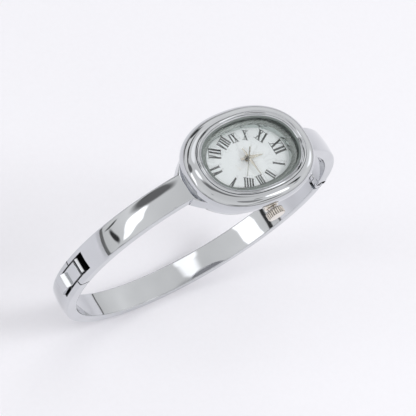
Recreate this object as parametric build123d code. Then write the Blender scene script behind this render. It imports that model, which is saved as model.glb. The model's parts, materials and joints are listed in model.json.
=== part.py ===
from build123d import *
import os
from math import atan2, cos, degrees, pi, radians, sin, sqrt

# A lady's quartz bangle watch, in millimetres.
# X runs to twelve o'clock, Y to nine o'clock and Z out of the dial.
# The origin is the centre of the wrist opening, and the wrist lies along Y.

# Bangle: an oval ring of even section, longer along X.
band_half_length = 31.0
band_half_height = 28.5
band_thickness = 2.4
band_width = 5.4
band_outer_rounding = 0.7
band_inner_rounding = 0.25

# Case: ovals squarer than an ellipse, at the widest rim and at the crystal.
case_half_length = 13.9
case_half_width = 10.0
end_border = 3.7
side_border = 3.2
opening_half_length = case_half_length - end_border
opening_half_width = case_half_width - side_border
oval_power = 2.25
oval_steps = 32

# Heights: the dial's top face, then what lies under it and over it.
dial_drop = 2.1
dial_height = band_half_height - dial_drop
dial_thickness = 0.4
motion_room = 0.65
plate_thickness = 1.05
train_room = 1.0
bridge_thickness = 0.35
back_room = 0.25
back_thickness = 0.7
glass_room = 1.55
crystal_thickness = 0.75
rim_rise = 0.6
rim_height = 0.45
dome_rise = 2.45
bezel_rise = 2.75
lip_rise = 2.4

dial_under = dial_height - dial_thickness
plate_top = dial_under - motion_room
plate_under = plate_top - plate_thickness
bridge_top = plate_under - train_room
bridge_under = bridge_top - bridge_thickness
back_inside = bridge_under - back_room
back_outside = back_inside - back_thickness
crystal_under = dial_height + glass_room
crystal_top = crystal_under + crystal_thickness
rim_top = dial_height + rim_rise
rim_under = rim_top - rim_height

# Case walls, all measured in from the widest outline.
flank_top_tuck = 0.5
flank_mid_tuck = 0.8
flank_low_tuck = 1.4
flank_mid_drop = 1.9
back_bevel = 0.45
end_wall = 2.75
side_wall = 2.4
cavity_half_length = case_half_length - end_wall
cavity_half_width = case_half_width - side_wall
bezel_seat_drop = 1.35
bezel_outer_share = 0.38
bezel_ridge_share = 0.27
bezel_groove = 0.16
fit_gap = 0.04
overrun = 5.0

# Crystal, its gasket and the sloping ring that frames the dial.
crystal_rounding = 0.2
gasket_wall = 0.25
rehaut_end_slope = 1.15
rehaut_side_slope = 0.85
rehaut_wall_height = 1.2
rehaut_half_length = opening_half_length - rehaut_end_slope
rehaut_half_width = opening_half_width - rehaut_side_slope
dial_edge_gap = 0.2

# Case back's upstand and its gasket.
upstand_height = 0.2
upstand_wall = 0.9
back_gasket_wall = 0.35

# Crown, tube and stem, on an axis along Y.
stem_rise = 0.3
stem_radius = 0.45
stem_clearance = 0.05
stem_groove_radius = 0.27
stem_tip = 3.0
tube_radius = 0.9
tube_flange_radius = 1.4
tube_flange = 0.55
tube_seat_tuck = 0.7
tube_seat = case_half_width - tube_seat_tuck
crown_radius = 1.75
crown_length = 1.4
crown_neck_radius = 1.05
crown_neck = 0.5
crown_rounding = 0.22
crown_flutes = 24
flute_radius = 0.13
clutch_radius = 0.75
clutch_length = 0.6
clutch_place = 3.5
pull_piece_place = 5.2
pull_piece_thickness = 0.4
pull_piece_height = 1.3
stem_slot_half_width = 0.95
stem_axis = plate_under + stem_rise
crown_face = tube_seat + tube_flange + fit_gap + crown_neck

# End links between the case and the arms.
link_face_tuck = 0.05
link_mid_tuck = 1.7
link_root_tuck = 4.6
link_face = case_half_length - link_face_tuck
link_mid = case_half_length - link_mid_tuck
link_root = case_half_length - link_root_tuck
link_mid_half_width = 4.6
link_root_half_width = 6.5
link_drop = 0.25
tenon_length = 1.4
tenon_half_width = 1.3
tenon_depth = 0.75
tenon_thickness = 0.9
rivet_radius = 0.4
rivet_setback = 0.7

# Clasp at six o'clock: slot, lever, catch bar.
arm_end_height = 3.8
joint_gap = 0.3
slot_width = 3.5
slot_top = 8.3
slot_depth = 1.9
lever_side_gap = 0.3
lever_tip = 6.7
lever_thickness = 0.9
lever_pivot_depth = 1.0
lever_pivot_height = -0.5
lever_lobe_radius = 2.2
lever_barrel_radius = 1.05
lever_step_height = 1.5
lever_step_rise = 1.0
lever_ridge_rise = 0.3
lever_ridge_length = 0.55
lever_swing_gap = 0.2
lever_pin_radius = 0.4
catch_bar_radius = 0.4
catch_bar_height = 5.2
catch_bar_gap = 0.12
lever_catch_depth = 0.3

# Hinge at twelve o'clock.
hinge_height = 2.0
hinge_pin_radius = 0.45
knuckle_radius = 1.3
knuckle_swing_gap = 0.18
centre_knuckle_width = 2.3
knuckle_side_gap = 0.08
pin_clearance = 0.03
pin_inset = 0.1

# Movement outline and pieces.
movement_half_length = 7.6
movement_half_width = 6.2
movement_corner = 2.0
movement_gap = 0.05
battery_radius = 2.9
battery_height = 1.6
battery_gap = 0.05
strap_thickness = 0.15
strap_width = 2.2
coil_place = 6.35
coil_radius = 0.8
coil_half_length = 3.4
coil_pocket_gap = 0.15
core_half_length = 4.9
core_width = 1.0
core_thickness = 0.2
stator_thickness = 0.2
stator_arm_half_width = 0.5
stator_elbow = 4.6
stator_ring_radius = 1.2
stator_gap = 0.15
stator_drop = 0.05
board_thickness = 0.25
board_length = 7.6
board_width = 2.7
board_gap = 0.1
can_radius = 0.4
can_length = 3.4
chip_size = 1.5
chip_height = 0.45
screw_radius = 0.3
screw_head_radius = 0.5
screw_head_height = 0.2
pillar_radius = 0.5
pillar_left, pillar_left_width = 3.25, 4.3
pillar_right, pillar_right_width = 1.0, 2.6
bridge_length = 5.6
bridge_width = 7.9
bridge_corner = 0.8

# Wheels: tooth counts, and the distances that set their modules.
rotor_teeth = 6
drive_teeth, drive_pinion_teeth = 36, 6
seconds_teeth, seconds_pinion_teeth = 30, 6
third_teeth, third_pinion_teeth = 45, 8
centre_teeth = 64
cannon_teeth = 12
minute_teeth, minute_pinion_teeth = 36, 10
hour_teeth = 40
rotor_distance = 1.68
drive_distance = 1.98
third_distance = 2.3
minute_distance = 2.4
third_bearing = 108
drive_bearing = 238
rotor_bearing = 200
minute_bearing = 270
wheel_thickness = 0.15
pinion_thickness = 0.25
first_level = 0.12
level_pitch = 0.3
arbor_radius = 0.12
pivot_clearance = 0.03
magnet_radius = 0.62
magnet_height = 0.22
motion_gap = 0.06
cannon_radius = 0.33
cannon_bore = 0.16
hour_tube_radius = 0.5
tube_gap = 0.05
tooth_tip_share, tooth_root_share = 0.11, 0.29
addendum_share, dedendum_share = 0.95, 1.2

# Hands, by height over the dial, and the time that they show.
hour_hand_rise = 0.4
minute_hand_rise = 0.72
second_hand_rise = 1.02
hand_thickness = 0.1
hand_hub_height = 0.22
hour_hand_length, hour_hand_width, hour_hub_radius = 3.4, 0.76, 0.68
minute_hand_length, minute_hand_width, minute_hub_radius = 4.2, 0.56, 0.5
second_hand_length, second_tail_width, second_hub_radius = 4.45, 0.26, 0.3
hour_tail_length, minute_tail_length, second_tail_length = 1.6, 2.0, 2.1
hand_shoulder_share, hand_tip_share, hand_tail_share = 0.26, 0.14, 0.55
needle_width = 0.12
shown_seconds = 21.5
shown_minutes = 14
shown_hours = 12

# Printed Roman numerals, on an oval, feet to the centre.
numeral_end_inset = 2.78
numeral_side_inset = 2.1
numeral_ring_length = opening_half_length - numeral_end_inset
numeral_ring_width = opening_half_width - numeral_side_inset
numeral_tall = 2.65
numeral_short = 1.9
print_thickness = 0.03
thick_stroke_share, thin_stroke_share, serif_share = 0.145, 0.06, 0.035
letter_width_shares = {"I": 0.25, "V": 0.48, "X": 0.58}
dial_feet_radius = 0.3
dial_feet_place = 6.6
dial_feet_length = 1.0


# Outlines

def oval(half_length, half_width, height):
    """Face inside an oval a little squarer than an ellipse, at a height."""
    points = []
    for step in range(oval_steps):
        angle = 2 * pi * step / oval_steps
        x, y = cos(angle), sin(angle)
        reach = (abs(x) ** oval_power + abs(y) ** oval_power) ** (-1 / oval_power)
        points.append((half_length * x * reach, half_width * y * reach, height))
    return make_face(Spline(*points, periodic=True))


def case_oval(tuck, height):
    return oval(case_half_length - tuck, case_half_width - tuck, height)


def opening_oval(growth, height):
    return oval(opening_half_length + growth, opening_half_width + growth, height)


def between_oval(share, height):
    """Oval between the crystal's outline, share 0, and the widest rim, share 1."""
    length = opening_half_length + share * (case_half_length - opening_half_length)
    width = opening_half_width + share * (case_half_width - opening_half_width)
    return oval(length, width, height)


def cavity_oval(gap, height):
    return oval(cavity_half_length - gap, cavity_half_width - gap, height)


def straight(face, height):
    return extrude(face, height, dir=(0, 0, 1))


def between(low, high):
    return loft([low, high], ruled=True)


def block(x_range, y_range, z_range):
    """Box between named limits along each axis."""
    sizes = [limits[1] - limits[0] for limits in (x_range, y_range, z_range)]
    middles = [(limits[0] + limits[1]) / 2 for limits in (x_range, y_range, z_range)]
    return Pos(*middles) * Box(*sizes)


def post(radius, low, high, place=(0, 0)):
    return Pos(place[0], place[1], (low + high) / 2) * Cylinder(radius, high - low)


def along_stem(radius, near, far):
    """Cylinder on the stem's axis, from one distance out of the dial's centre to another."""
    middle = Pos(0, -(near + far) / 2, stem_axis)
    return middle * Rot(90, 0, 0) * Cylinder(radius, far - near)


def across_band(radius, width, x, z):
    """Cylinder along Y, centred on the band, for a pin or a barrel."""
    return Pos(x, 0, z) * Rot(90, 0, 0) * Cylinder(radius, width)


def polar(distance, bearing):
    return (distance * cos(radians(bearing)), distance * sin(radians(bearing)))


# Bangle

def band_shell(depth, thickness, width):
    """Slice of the ring, from a depth under its outer face, for a given thickness."""
    outer = Ellipse(band_half_length - depth, band_half_height - depth)
    inner_depth = depth + thickness
    inner = Ellipse(band_half_length - inner_depth, band_half_height - inner_depth)
    return extrude(Plane.XZ * (outer - inner), width / 2, both=True)


def whole_ring():
    ring = band_shell(0, band_thickness, band_width)
    rims = ring.edges().filter_by(GeomType.ELLIPSE).sort_by(SortBy.LENGTH)
    ring = fillet(rims[2:], band_outer_rounding)
    rims = ring.edges().filter_by(GeomType.ELLIPSE).sort_by(SortBy.LENGTH)
    return fillet(rims[:2], band_inner_rounding)


def band_x(height, depth=0):
    """Distance of the ring's outer face, or of a depth under it, from the wrist's centre."""
    share = height / (band_half_height - depth)
    return (band_half_length - depth) * sqrt(1 - share ** 2)


hinge_x = band_x(hinge_height, band_thickness / 2)
lever_pivot_x = -(band_half_length - lever_pivot_depth)
catch_bar_x = -(band_x(catch_bar_height, lever_thickness) - catch_bar_radius - catch_bar_gap)
channel_end = lever_pivot_height - lever_lobe_radius - lever_swing_gap
reach = band_half_length + overrun
span = (-band_width, band_width)


def tenon(side):
    piece = band_shell(tenon_depth, tenon_thickness, 2 * tenon_half_width)
    x_range = sorted((side * (link_face - tenon_length), side * (link_face + fit_gap)))
    return piece & block(x_range, span, (0, reach))


def rivet(side):
    shaft = post(rivet_radius, 0, reach, (side * (link_face - rivet_setback), 0))
    upper_half = block((-reach, reach), span, (0, reach))
    return shaft & (band_shell(tenon_depth, band_thickness - tenon_depth, band_width) & upper_half)


def front_arm(ring, side, end_height):
    x_range = sorted((side * link_face, side * reach))
    arm = ring & block(x_range, span, (end_height, reach))
    return arm + tenon(side) - rivet(side)


def arm_six(ring):
    arm = front_arm(ring, -1, arm_end_height)
    slot = band_shell(-overrun, overrun + slot_depth, slot_width)
    slot &= block((-reach, -link_face), span, (0, slot_top))
    return arm - slot - catch_bar()


def catch_bar():
    width = band_width - 2 * pin_inset
    return across_band(catch_bar_radius, width, catch_bar_x, catch_bar_height)


def knuckle(width, y):
    return Pos(0, y, 0) * across_band(knuckle_radius, width, hinge_x, hinge_height)


def knuckle_room(width, y):
    radius = knuckle_radius + knuckle_swing_gap
    return Pos(0, y, 0) * across_band(radius, width, hinge_x, hinge_height)


side_knuckle_width = (band_width - centre_knuckle_width) / 2 - knuckle_side_gap
side_knuckle_place = (band_width - side_knuckle_width) / 2


def hinge_pin():
    width = band_width - 2 * pin_inset
    return across_band(hinge_pin_radius, width, hinge_x, hinge_height)


def arm_twelve(ring):
    arm = front_arm(ring, 1, hinge_height)
    arm -= knuckle_room(band_width + overrun, 0)
    cheek_range = (hinge_height, hinge_height + 2 * knuckle_radius)
    for side in (-1, 1):
        y = side * side_knuckle_place
        y_range = (y - side_knuckle_width / 2, y + side_knuckle_width / 2)
        arm += ring & block((0, reach), y_range, cheek_range)
        arm += knuckle(side_knuckle_width, y)
    return arm - hinge_pin()


def rear_half(ring):
    half = ring & block((-reach, 0), span, (-reach, arm_end_height - joint_gap))
    half += ring & block((0, reach), span, (-reach, hinge_height))
    half -= knuckle_room(band_width + overrun, 0)
    y_range = (-centre_knuckle_width / 2, centre_knuckle_width / 2)
    half += ring & block((0, reach), y_range, (hinge_height - 2 * knuckle_radius, hinge_height))
    half += knuckle(centre_knuckle_width, 0)
    bore = hinge_pin_radius + pin_clearance
    half -= across_band(bore, band_width, hinge_x, hinge_height)
    slot_range = (-slot_width / 2, slot_width / 2)
    half -= block((-reach, -link_face), slot_range, (channel_end, arm_end_height))
    return half - lever_pin()


def lever_pin():
    width = band_width - 2 * pin_inset
    return across_band(lever_pin_radius, width, lever_pivot_x, lever_pivot_height)


def clasp_lever():
    width = slot_width - 2 * lever_side_gap
    sides = (-width / 2, width / 2)
    plate = band_shell(0, lever_thickness, width)
    plate &= block((-reach, 0), sides, (lever_pivot_height, lever_tip))
    ridge = band_shell(-lever_ridge_rise, lever_thickness, width)
    ridge &= block((-reach, 0), sides, (lever_tip - lever_ridge_length, lever_tip))
    shoulder = band_shell(-lever_step_rise, lever_thickness + lever_step_rise, width)
    shoulder &= block((-reach, 0), sides, (lever_pivot_height, lever_step_height))
    lobe = across_band(lever_lobe_radius, width, lever_pivot_x, lever_pivot_height)
    lobe_top = lever_pivot_height + lever_lobe_radius
    lobe &= block((-reach, lever_pivot_x - lever_pin_radius), sides, (channel_end, lobe_top))
    barrel = across_band(lever_barrel_radius, width, lever_pivot_x, lever_pivot_height)
    catch_top = catch_bar_height - catch_bar_radius - catch_bar_gap
    catch = band_shell(lever_thickness, lever_catch_depth, width)
    catch &= block((-reach, 0), sides, (catch_top - lever_ridge_length, catch_top))
    lever = plate + ridge + shoulder + lobe + barrel + catch
    bore = lever_pin_radius + pin_clearance
    return lever - across_band(bore, band_width, lever_pivot_x, lever_pivot_height)


# Case

def flank():
    """Lower side of the case, tucked in under the rim."""
    middle = rim_under - flank_mid_drop
    upper = between(case_oval(flank_mid_tuck, middle), case_oval(flank_top_tuck, rim_under))
    lower = between(case_oval(flank_low_tuck, back_inside), case_oval(flank_mid_tuck, middle))
    return upper + lower


def dome():
    """Rounded shoulder from the widest rim up to the bezel's edge."""
    rise = dial_height + dome_rise - rim_top
    sections = []
    for quarter_share in (0, 0.25, 0.5, 0.75, 1):
        angle = quarter_share * pi / 2
        share = bezel_outer_share + (1 - bezel_outer_share) * cos(angle)
        sections.append(between_oval(share, rim_top + rise * sin(angle)))
    return loft(sections)


def case_outer():
    return flank() + straight(case_oval(0, rim_under), rim_height) + dome()


def case_body(outer, arms, rivets):
    body = outer - arms[0] - arms[1] - rivets[0] - rivets[1]
    body -= straight(cavity_oval(0, back_inside - overrun), 3 * overrun)
    seat = dial_height + lip_rise - bezel_seat_drop
    body -= straight(between_oval(bezel_outer_share, seat), overrun)
    body -= along_stem(tube_radius, 0, case_half_width)
    body -= along_stem(tube_flange_radius + fit_gap, tube_seat, case_half_width + overrun)
    return body


def bezel():
    seat = dial_height + lip_rise - bezel_seat_drop
    ridge = dial_height + bezel_rise
    low_edge = dial_height + dome_rise - bezel_groove
    outer_share = bezel_outer_share
    ring = straight(between_oval(outer_share, seat), low_edge - seat)
    ring += between(between_oval(outer_share, low_edge), between_oval(bezel_ridge_share, ridge))
    chamfer_cut = between(opening_oval(0, dial_height + lip_rise),
                          between_oval(bezel_ridge_share, ridge))
    ring -= chamfer_cut
    ring -= straight(opening_oval(gasket_wall, crystal_under - overrun), 2 * overrun)
    return ring


def crystal():
    plate = straight(opening_oval(-fit_gap, crystal_under), crystal_thickness)
    top = plate.edges().group_by(Axis.Z)[-1]
    return chamfer(top, crystal_rounding)


def crystal_gasket():
    high = min(crystal_top - crystal_rounding, dial_height + lip_rise - fit_gap)
    ring = straight(opening_oval(gasket_wall, crystal_under), high - crystal_under)
    return ring - straight(opening_oval(-fit_gap, crystal_under), overrun)


def rehaut_ring():
    """Grey ring with an upright wall at the dial's edge and a slope up to the crystal."""
    seat = dial_height + lip_rise - bezel_seat_drop
    low = straight(cavity_oval(fit_gap, dial_height), seat - dial_height)
    high = straight(opening_oval(gasket_wall, seat), crystal_under - seat)
    wall = straight(oval(rehaut_half_length, rehaut_half_width, dial_height), rehaut_wall_height)
    brow = oval(rehaut_half_length, rehaut_half_width, dial_height + rehaut_wall_height)
    return low + high - wall - between(brow, opening_oval(-gasket_wall, crystal_under))


def dial():
    plate = straight(cavity_oval(dial_edge_gap, dial_under), dial_thickness)
    for side in (-1, 1):
        foot_low = dial_under - dial_feet_length
        plate += post(dial_feet_radius, foot_low, dial_under, (side * dial_feet_place, 0))
    hole = hour_tube_radius + tube_gap
    return plate - post(hole, dial_under, dial_height)


def case_back():
    low = case_oval(flank_low_tuck + back_bevel, back_outside)
    plate = between(low, case_oval(flank_low_tuck, back_inside))
    wall = straight(cavity_oval(back_gasket_wall, back_inside), upstand_height)
    wall -= straight(cavity_oval(upstand_wall, back_inside), upstand_height)
    return plate + wall


def case_back_gasket():
    ring = straight(cavity_oval(0, back_inside), upstand_height)
    return ring - straight(cavity_oval(back_gasket_wall, back_inside), upstand_height)


def end_link(side, outer, arm, pin):
    """Flared piece that carries the arm's width out to the case's flank."""
    length = link_face - link_root
    edge = [
        (link_face, band_width / 2),
        (link_mid, link_mid_half_width),
        (link_root, link_root_half_width),
    ]
    mirrored = [(x, -y) for x, y in reversed(edge)]
    plan = make_face(
        Spline(*edge)
        + Line(edge[-1], mirrored[0])
        + Spline(*mirrored)
        + Line(mirrored[-1], edge[0])
    )
    if side < 0:
        plan = mirror(plan, Plane.YZ)
    body = extrude(plan, reach, dir=(0, 0, 1))
    body &= band_shell(link_drop, band_thickness - link_drop, 2 * (length + band_width))
    return body - outer - case_back() - arm - pin


# Crown

def crown_tube():
    inner_end = cavity_half_width - fit_gap
    tube = along_stem(tube_radius, inner_end, tube_seat + tube_flange)
    tube += along_stem(tube_flange_radius, tube_seat, tube_seat + tube_flange)
    return tube - along_stem(stem_radius + stem_clearance, 0, case_half_width + overrun)


def crown():
    far = crown_face + crown_length
    knob = along_stem(crown_radius, crown_face, far)
    knob = chamfer(knob.edges().filter_by(GeomType.CIRCLE), crown_rounding)
    groove = along_stem(flute_radius, crown_face - overrun, far + overrun)
    for turn in range(crown_flutes):
        x, z = polar(crown_radius, 360 * turn / crown_flutes)
        knob -= Pos(x, 0, z) * groove
    knob += along_stem(crown_neck_radius, crown_face - crown_neck, crown_face)
    return knob - along_stem(stem_radius, 0, crown_face + crown_length / 2)


def winding_stem():
    stem = along_stem(stem_radius, stem_tip, crown_face + crown_length / 2)
    groove_near = pull_piece_place - stem_clearance
    groove_far = pull_piece_place + pull_piece_thickness + stem_clearance
    groove = along_stem(2 * stem_radius, groove_near, groove_far)
    return stem - (groove - along_stem(stem_groove_radius, groove_near, groove_far))


def clutch_wheel():
    drum = along_stem(clutch_radius, clutch_place, clutch_place + clutch_length)
    return drum - along_stem(stem_radius, 0, case_half_width)


def pull_piece():
    half_width = stem_slot_half_width - movement_gap
    near, far = pull_piece_place, pull_piece_place + pull_piece_thickness
    z_range = (stem_axis - pull_piece_height / 2, stem_axis + pull_piece_height / 2)
    plate = block((-half_width, half_width), (-far, -near), z_range)
    return plate - along_stem(stem_groove_radius + stem_clearance, 0, case_half_width)


# Movement

third_place = polar(third_distance, third_bearing)
drive_place = polar(drive_distance, drive_bearing)
rotor_step = polar(rotor_distance, rotor_bearing)
rotor_place = (drive_place[0] + rotor_step[0], drive_place[1] + rotor_step[1])
minute_place = polar(minute_distance, minute_bearing)
battery_place = (
    movement_half_length - battery_radius - 2 * battery_gap,
    movement_half_width - battery_radius - 2 * battery_gap,
)
pillar_places = ((-pillar_left, pillar_left_width), (pillar_right, -pillar_right_width))
low_level = bridge_top + first_level
mid_level = low_level + level_pitch
high_level = mid_level + level_pitch


def movement_outline(growth, low, high):
    face = RectangleRounded(
        2 * (movement_half_length + growth),
        2 * (movement_half_width + growth),
        movement_corner + growth,
    )
    return Pos(0, 0, low) * extrude(face, high - low)


def stem_room(low, high):
    sides = (-stem_slot_half_width, stem_slot_half_width)
    far = cavity_half_width
    return block(sides, (-far, -stem_tip + stem_clearance), (low, high))


def pivot_hole(place):
    return post(arbor_radius + pivot_clearance, bridge_under, plate_top, place)


def main_plate():
    plate = movement_outline(0, plate_under, plate_top)
    for place in pillar_places:
        plate += post(pillar_radius, bridge_top, plate_under, place)
        plate -= post(screw_radius, bridge_top, plate_under, place)
    plate -= post(battery_radius + battery_gap, bridge_under, battery_top + battery_gap,
                  battery_place)
    coil_half_room = coil_radius + coil_pocket_gap
    coil_end = coil_half_length + coil_pocket_gap
    plate -= block((-coil_place - coil_half_room, -coil_place + coil_half_room),
                   (-coil_end, coil_end), (plate_under, plate_top))
    plate -= stem_room(bridge_under, plate_top)
    plate -= post(cannon_radius + tube_gap, plate_under, plate_top)
    for place in (third_place, drive_place, rotor_place):
        plate -= pivot_hole(place)
    foot_hole = dial_feet_radius
    for side in (-1, 1):
        foot_low = dial_under - dial_feet_length
        plate -= post(foot_hole, foot_low, plate_top, (side * dial_feet_place, 0))
    stud_top = dial_under - motion_gap
    return plate + post(arbor_radius, plate_top, stud_top, minute_place)


battery_top = bridge_under + battery_height


def movement_ring():
    """Moulded holder that fills the space between the movement and the case."""
    low = back_inside + upstand_height
    ring = straight(cavity_oval(fit_gap, low), dial_under - low)
    ring -= movement_outline(movement_gap, low, dial_under)
    ring -= stem_room(plate_under - plate_thickness, plate_top + fit_gap)
    return ring


def train_bridge():
    x = pillar_places[1][0] + pillar_radius - bridge_length / 2
    y = pillar_places[0][1] + pillar_radius - bridge_width / 2
    face = RectangleRounded(bridge_length, bridge_width, bridge_corner)
    plate = Pos(x, y, bridge_under) * extrude(face, bridge_thickness)
    for place in ((0, 0), third_place, drive_place, rotor_place):
        plate -= pivot_hole(place)
    for place in pillar_places:
        plate -= post(screw_radius, bridge_under, bridge_top, place)
        plate -= post(screw_head_radius, bridge_under, bridge_under + screw_head_height, place)
    return plate


def bridge_screw(place):
    screw = post(screw_radius, bridge_under, plate_under, place)
    head_top = bridge_under + screw_head_height
    screw += post(screw_head_radius, bridge_under, head_top, place)
    slot = Pos(place[0], place[1], bridge_under) * Box(
        2 * screw_head_radius, screw_radius / 2, screw_head_height / 2)
    return screw - slot


def battery():
    cell = post(battery_radius, bridge_under, battery_top, battery_place)
    return chamfer(cell.edges().filter_by(GeomType.CIRCLE), battery_gap)


def battery_strap():
    low = bridge_under - strap_thickness
    x, y = battery_place
    strap = block((x - battery_radius, x + battery_radius),
                  (y - strap_width / 2, y + strap_width / 2), (low, bridge_under))
    return strap


def circuit_board():
    far = movement_half_width - board_gap
    right = stem_slot_half_width
    board = block((right - board_length, right), (-far, -far + board_width),
                  (bridge_under, bridge_under + board_thickness))
    return fillet(board.edges().filter_by(Axis.Z), bridge_corner)


board_middle = -(movement_half_width - board_gap - board_width / 2)
board_top = bridge_under + board_thickness


def quartz_can():
    x = -coil_place + coil_radius + can_length / 2
    place = Pos(x, board_middle, board_top + can_radius)
    return place * Rot(0, 90, 0) * Cylinder(can_radius, can_length)


def control_chip():
    y_range = (board_middle - chip_size / 2, board_middle + chip_size / 2)
    x_range = (stem_slot_half_width - bridge_corner - chip_size,
               stem_slot_half_width - bridge_corner)
    return block(x_range, y_range, (board_top, board_top + chip_height))


stator_top = plate_under - stator_drop
core_top = stator_top - stator_thickness


def coil_core():
    x_range = (-coil_place - core_width / 2, -coil_place + core_width / 2)
    y_range = (-core_half_length, core_half_length)
    return block(x_range, y_range, (core_top - core_thickness, core_top))


def drive_coil():
    drum = Rot(90, 0, 0) * Cylinder(coil_radius, 2 * coil_half_length)
    return Pos(-coil_place, 0, core_top - core_thickness / 2) * drum - coil_core()


def bar_between(start, end):
    """Round-ended flat bar in the stator, from one point to another."""
    along = Vector(*end) - Vector(*start)
    turn = degrees(atan2(along.Y, along.X))
    middle = (Vector(*start) + Vector(*end)) / 2
    shape = SlotCenterToCenter(along.length, 2 * stator_arm_half_width)
    return Pos(middle.X, middle.Y, core_top) * Rot(0, 0, turn) * extrude(shape, stator_thickness)


def stator():
    plate = post(stator_ring_radius, core_top, stator_top, rotor_place)
    end = core_half_length - stator_arm_half_width
    for side in (-1, 1):
        elbow = (-stator_elbow, side * end)
        plate += bar_between(rotor_place, elbow)
        plate += bar_between(elbow, (-coil_place, side * end))
    return plate - post(magnet_radius + stator_gap, core_top, stator_top, rotor_place)


def gear(teeth, module, low, thickness, place=(0, 0), tooth_at=0.0):
    """Toothed wheel with one tooth on the bearing tooth_at, in degrees."""
    root = module * (teeth / 2 - dedendum_share)
    tip = module * (teeth / 2 + addendum_share)
    pitch = 360 / teeth
    corners = []
    for tooth in range(teeth):
        bearing = tooth_at + tooth * pitch
        corners.append(polar(root, bearing - tooth_root_share * pitch))
        corners.append(polar(tip, bearing - tooth_tip_share * pitch))
        corners.append(polar(tip, bearing + tooth_tip_share * pitch))
        corners.append(polar(root, bearing + tooth_root_share * pitch))
    face = make_face(Polyline(*corners, close=True))
    return Pos(place[0], place[1], low) * extrude(face, thickness)


def mesh(teeth, distance, other_teeth):
    """Module that lets two wheels meet at a distance."""
    return 2 * distance / (teeth + other_teeth)


def gap_towards(teeth, bearing):
    return bearing + 180 / teeth


def pinion_rise(level):
    return level - (pinion_thickness - wheel_thickness) / 2


drive_module = mesh(drive_pinion_teeth, drive_distance, seconds_teeth)
rotor_module = mesh(rotor_teeth, rotor_distance, drive_teeth)
third_module = mesh(seconds_pinion_teeth, third_distance, third_teeth)
centre_module = mesh(third_pinion_teeth, third_distance, centre_teeth)
minute_module = mesh(cannon_teeth, minute_distance, minute_teeth)
hour_module = mesh(minute_pinion_teeth, minute_distance, hour_teeth)
motion_level = plate_top + motion_gap
hour_level = motion_level + wheel_thickness + motion_gap


def rotor():
    wheel = gear(rotor_teeth, rotor_module, pinion_rise(mid_level), pinion_thickness,
                 rotor_place, rotor_bearing)
    wheel += post(magnet_radius, core_top, core_top + magnet_height, rotor_place)
    return wheel + post(arbor_radius, bridge_under, plate_top, rotor_place)


def drive_wheel():
    wheel = gear(drive_teeth, rotor_module, mid_level, wheel_thickness, drive_place,
                 gap_towards(drive_teeth, rotor_bearing))
    wheel += gear(drive_pinion_teeth, drive_module, pinion_rise(low_level), pinion_thickness,
                  drive_place, drive_bearing)
    return wheel + post(arbor_radius, bridge_under, plate_top, drive_place)


def seconds_wheel():
    wheel = gear(seconds_teeth, drive_module, low_level, wheel_thickness, (0, 0),
                 gap_towards(seconds_teeth, drive_bearing))
    wheel += gear(seconds_pinion_teeth, third_module, pinion_rise(mid_level), pinion_thickness,
                  (0, 0), third_bearing)
    top = dial_height + second_hand_rise + hand_hub_height
    return wheel + post(arbor_radius, bridge_under, top)


def third_wheel():
    wheel = gear(third_teeth, third_module, mid_level, wheel_thickness, third_place,
                 gap_towards(third_teeth, third_bearing + 180))
    wheel += gear(third_pinion_teeth, centre_module, pinion_rise(high_level), pinion_thickness,
                  third_place, third_bearing + 180)
    return wheel + post(arbor_radius, bridge_under, plate_top, third_place)


def centre_wheel():
    wheel = gear(centre_teeth, centre_module, high_level, wheel_thickness, (0, 0),
                 gap_towards(centre_teeth, third_bearing))
    wheel += gear(cannon_teeth, minute_module, motion_level, wheel_thickness, (0, 0),
                  minute_bearing)
    top = dial_height + minute_hand_rise + hand_hub_height
    wheel += post(cannon_radius, high_level, top)
    return wheel - post(cannon_bore, bridge_under, top)


def minute_wheel():
    wheel = gear(minute_teeth, minute_module, motion_level, wheel_thickness, minute_place,
                 gap_towards(minute_teeth, minute_bearing + 180))
    wheel += gear(minute_pinion_teeth, hour_module, hour_level, wheel_thickness, minute_place,
                  minute_bearing + 180)
    wheel += post(hour_module * minute_pinion_teeth / 2 - hour_module, motion_level,
                  hour_level, minute_place)
    return wheel - post(arbor_radius + pivot_clearance, plate_top, dial_under, minute_place)


def hour_wheel():
    wheel = gear(hour_teeth, hour_module, hour_level, wheel_thickness, (0, 0),
                 gap_towards(hour_teeth, minute_bearing))
    top = dial_height + hour_hand_rise + hand_hub_height
    wheel += post(hour_tube_radius, hour_level, top)
    return wheel - post(cannon_radius + tube_gap, plate_top, top)


# Hands

def tapered_outline(length, width, tail):
    """Upper edge of a hand that is widest a little way out from its hub."""
    tip, tail_end = width * hand_tip_share, width * hand_tail_share
    return [(-tail, tail_end / 2), (length * hand_shoulder_share, width / 2), (length, tip / 2)]


def hand(outline, hub_radius, bore, rise, turn):
    """Flat hand on a round hub, turned clockwise from twelve."""
    outline = outline + [(x, -y) for x, y in reversed(outline)]
    blade = extrude(make_face(Polyline(*outline, close=True)), hand_thickness)
    hub = post(hub_radius, 0, hand_hub_height)
    shape = blade + hub - post(bore, -hand_hub_height, 2 * hand_hub_height)
    return Pos(0, 0, dial_height + rise) * Rot(0, 0, -turn) * shape


second_turn = 360 * shown_seconds / 60
minute_turn = 6 * (shown_minutes + shown_seconds / 60)
hour_turn = (30 * shown_hours + minute_turn / 12) % 360


def hour_hand():
    outline = tapered_outline(hour_hand_length, hour_hand_width, hour_tail_length)
    return hand(outline, hour_hub_radius, hour_tube_radius, hour_hand_rise, hour_turn)


def minute_hand():
    outline = tapered_outline(minute_hand_length, minute_hand_width, minute_tail_length)
    return hand(outline, minute_hub_radius, cannon_radius, minute_hand_rise, minute_turn)


def second_hand():
    neck = second_hub_radius
    outline = [(-second_tail_length, second_tail_width / 2), (-neck, second_tail_width / 2),
               (-neck, needle_width / 2), (second_hand_length, needle_width / 2)]
    return hand(outline, second_hub_radius, arbor_radius, second_hand_rise, second_turn)


# Numerals

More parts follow.
